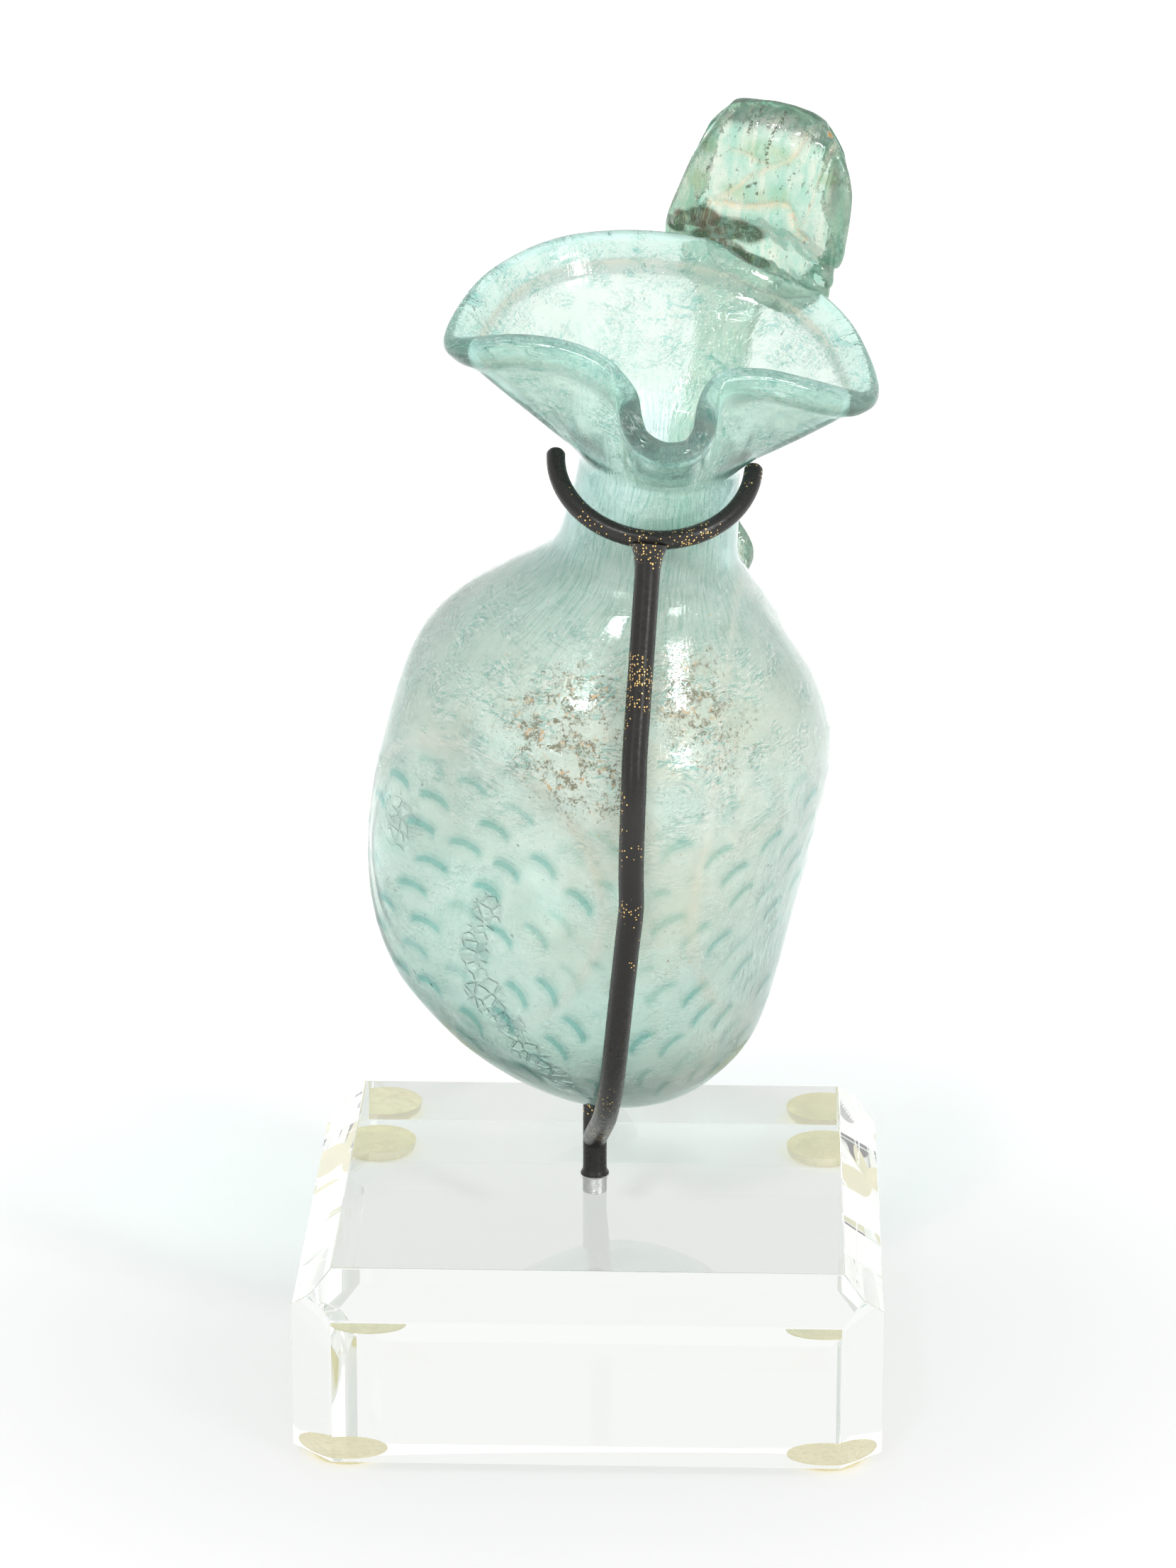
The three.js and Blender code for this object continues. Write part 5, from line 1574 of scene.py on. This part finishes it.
def pad_rubber(name):
    """Clear rubber that has yellowed, a little cloudy."""
    f = bpy.context.scene.finishes
    r = Recipe(name)
    place = r.place()
    cloud = r.noise(place, 420, 3, 0.6)
    tone = r.blend(r.ramp(cloud, 0.35, 0.65), [c * 0.93 for c in f.rubber], f.rubber)
    rough = r.ramp(r.noise(place, 1100, 2), 0.3, 0.7, 0.12, 0.3)
    rubber = r.add("ShaderNodeBsdfPrincipled", {
        "Base Color": tone, "Roughness": rough, "IOR": 1.45, "Transmission Weight": 0.15,
        "Normal": r.bump(cloud, 0.00003, 0.4)})
    r.lets_lamps_through(rubber.outputs[0], f.rubber_light)
    return r.material


# The floor glows from one strength to another between two distances from the object, so that it
# is white around it and still takes its shadow.
FLOOR_GLOW_REACH = (0.05, 0.28)
FLOOR_GLOW = (0.12, 0.8)


def paper_floor(name):
    """Pale paper that photographs white where nothing shades it."""
    f = bpy.context.scene.finishes
    r = Recipe(name)
    place = r.place()
    tone = r.blend(r.noise(place, 30, 3), [c * 0.99 for c in f.floor], f.floor)
    paper = r.add("ShaderNodeBsdfPrincipled", {
        "Base Color": tone, "Roughness": 0.9, "Specular IOR Level": 0.0})
    away = r.add("ShaderNodeVectorMath", {0: place}, operation="LENGTH").outputs["Value"]
    strength = r.ramp(away, *FLOOR_GLOW_REACH, *FLOOR_GLOW)
    glow = r.add("ShaderNodeEmission", {"Color": (1, 1, 1, 1), "Strength": strength})
    path = r.add("ShaderNodeLightPath")
    seen = r.math("MAXIMUM", path.outputs["Is Camera Ray"],
                  r.math("MAXIMUM", path.outputs["Is Glossy Ray"], path.outputs["Is Transmission Ray"]))
    lit = r.add("ShaderNodeAddShader", {0: paper.outputs[0], 1: glow.outputs[0]})
    both = r.add("ShaderNodeMixShader", {0: seen, 1: paper.outputs[0], 2: lit.outputs[0]})
    r.surface(both)
    return r.material


# The stage


# Lamps, white and all aimed at the jug: name, place, width and height, power.
LAMPS = [
    ("high_left_window", (-0.27, -0.91, 1.05), (0.15, 0.12), 4.2),
    ("high_right_window", (0.77, -0.744, 0.912), (0.13, 0.16), 3.2),
    ("low_right_window", (0.827, -0.951, 0.574), (0.17, 0.2), 2.4),
    ("low_left_window", (-0.592, -1.162, 0.439), (0.08, 0.24), 0.6),
]
LAMP_AIM = (0, 0, 0.09)

# The surround is white to what looks at it, and lights with this strength.
SURROUND_LIGHT = 0.6

# Glass behind glass needs many bounces. The camera's sensor is in millimetres.
LIGHT_BOUNCES = 24
SENSOR_WIDTH = 36
CLIP_START = 0.01


def white_surround(name):
    """A world that is white to the camera, in reflections and through glass."""
    world = bpy.data.worlds.new(name)
    world.use_nodes = True
    nodes, links = world.node_tree.nodes, world.node_tree.links
    nodes.clear()
    path = nodes.new("ShaderNodeLightPath")
    seen = path.outputs["Is Camera Ray"]
    for kind in ("Is Glossy Ray", "Is Transmission Ray"):
        either = nodes.new("ShaderNodeMath")
        either.operation = "MAXIMUM"
        links.new(seen, either.inputs[0])
        links.new(path.outputs[kind], either.inputs[1])
        seen = either.outputs[0]
    strength = nodes.new("ShaderNodeMapRange")
    strength.inputs["To Min"].default_value = SURROUND_LIGHT
    links.new(seen, strength.inputs["Value"])
    background = nodes.new("ShaderNodeBackground")
    background.inputs["Color"].default_value = (1, 1, 1, 1)
    links.new(strength.outputs[0], background.inputs["Strength"])
    links.new(background.outputs[0], nodes.new("ShaderNodeOutputWorld").inputs["Surface"])
    return world


class OBJECT_OT_jug_stage(bpy.types.Operator):
    """Sets up the floor, the lamps, the world and the camera"""

    bl_idname = "object.jug_stage"
    bl_label = "Stage"

    def execute(self, context):
        scene = context.scene
        s = scene.stage_settings
        bpy.ops.object.select_all(action="DESELECT")
        bpy.ops.mesh.primitive_plane_add(size=s.floor_size, location=(0, 0, 0))
        floor = added("paper_sweep")
        floor.data.materials.append(paper_floor("white_paper"))
        for name, place, size, power in LAMPS:
            bpy.ops.object.light_add(type="AREA", location=place)
            lamp = bpy.context.object
            lamp.name = name
            lamp.data.shape = "RECTANGLE"
            lamp.data.size, lamp.data.size_y = size
            lamp.data.energy = power
            lamp.rotation_euler = (Vector(LAMP_AIM) - Vector(place)).to_track_quat("-Z", "Y").to_euler()
        scene.world = white_surround("studio")
        camera = bpy.data.objects.new("camera", bpy.data.cameras.new("camera"))
        scene.collection.objects.link(camera)
        camera.data.lens = s.lens
        camera.data.sensor_width = SENSOR_WIDTH
        camera.data.clip_start = CLIP_START
        turn = (Matrix.Rotation(-s.yaw, 4, "Z") @ Matrix.Rotation(math.pi / 2 - s.pitch, 4, "X")
                @ Matrix.Rotation(-s.roll, 4, "Z"))
        camera.matrix_world = Matrix.Translation(s.place) @ turn
        scene.camera = camera
        for kind in ("max", "glossy", "transmission"):
            setattr(scene.cycles, f"{kind}_bounces", LIGHT_BOUNCES)
        scene.view_settings.view_transform = "Standard"
        return {"FINISHED"}


class VIEW3D_PT_glass_jug(bpy.types.Panel):
    """Lists the steps that build the jug and its mount"""

    bl_label = "Glass jug"
    bl_idname = "VIEW3D_PT_glass_jug"
    bl_space_type = "VIEW_3D"
    bl_region_type = "UI"
    bl_category = "Jug"

    def draw(self, context):
        for step in STEPS:
            self.layout.operator(step.bl_idname)
        for group in GROUPS:
            settings = getattr(context.scene, group)
            box = self.layout.box()
            for key in settings.__annotations__:
                box.prop(settings, key)


GROUPS = {
    "jug_sizes": JugSizes, "handle_sizes": HandleSizes, "mount_sizes": MountSizes,
    "block_sizes": BlockSizes, "finishes": Finishes, "stage_settings": StageSettings,
}
STEPS = (
    OBJECT_OT_jug_stage, OBJECT_OT_acrylic_block, OBJECT_OT_threaded_stud, OBJECT_OT_bumper_pads,
    OBJECT_OT_wire_mount, OBJECT_OT_jug_glass, OBJECT_OT_jug_handle,
)


def register():
    for each in (*GROUPS.values(), *STEPS, VIEW3D_PT_glass_jug):
        bpy.utils.register_class(each)
    for name, group in GROUPS.items():
        setattr(bpy.types.Scene, name, PointerProperty(type=group))


def unregister():
    for name in GROUPS:
        delattr(bpy.types.Scene, name)
    for each in (VIEW3D_PT_glass_jug, *reversed(STEPS), *reversed(GROUPS.values())):
        bpy.utils.unregister_class(each)


def main():
    register()
    bpy.ops.object.jug_stage()
    bpy.ops.object.jug_acrylic_block()
    bpy.ops.object.jug_threaded_stud()
    bpy.ops.object.jug_bumper_pads()
    bpy.ops.object.jug_wire_mount()
    bpy.ops.object.jug_glass()
    bpy.ops.object.jug_handle()


if __name__ == "__main__":
    main()
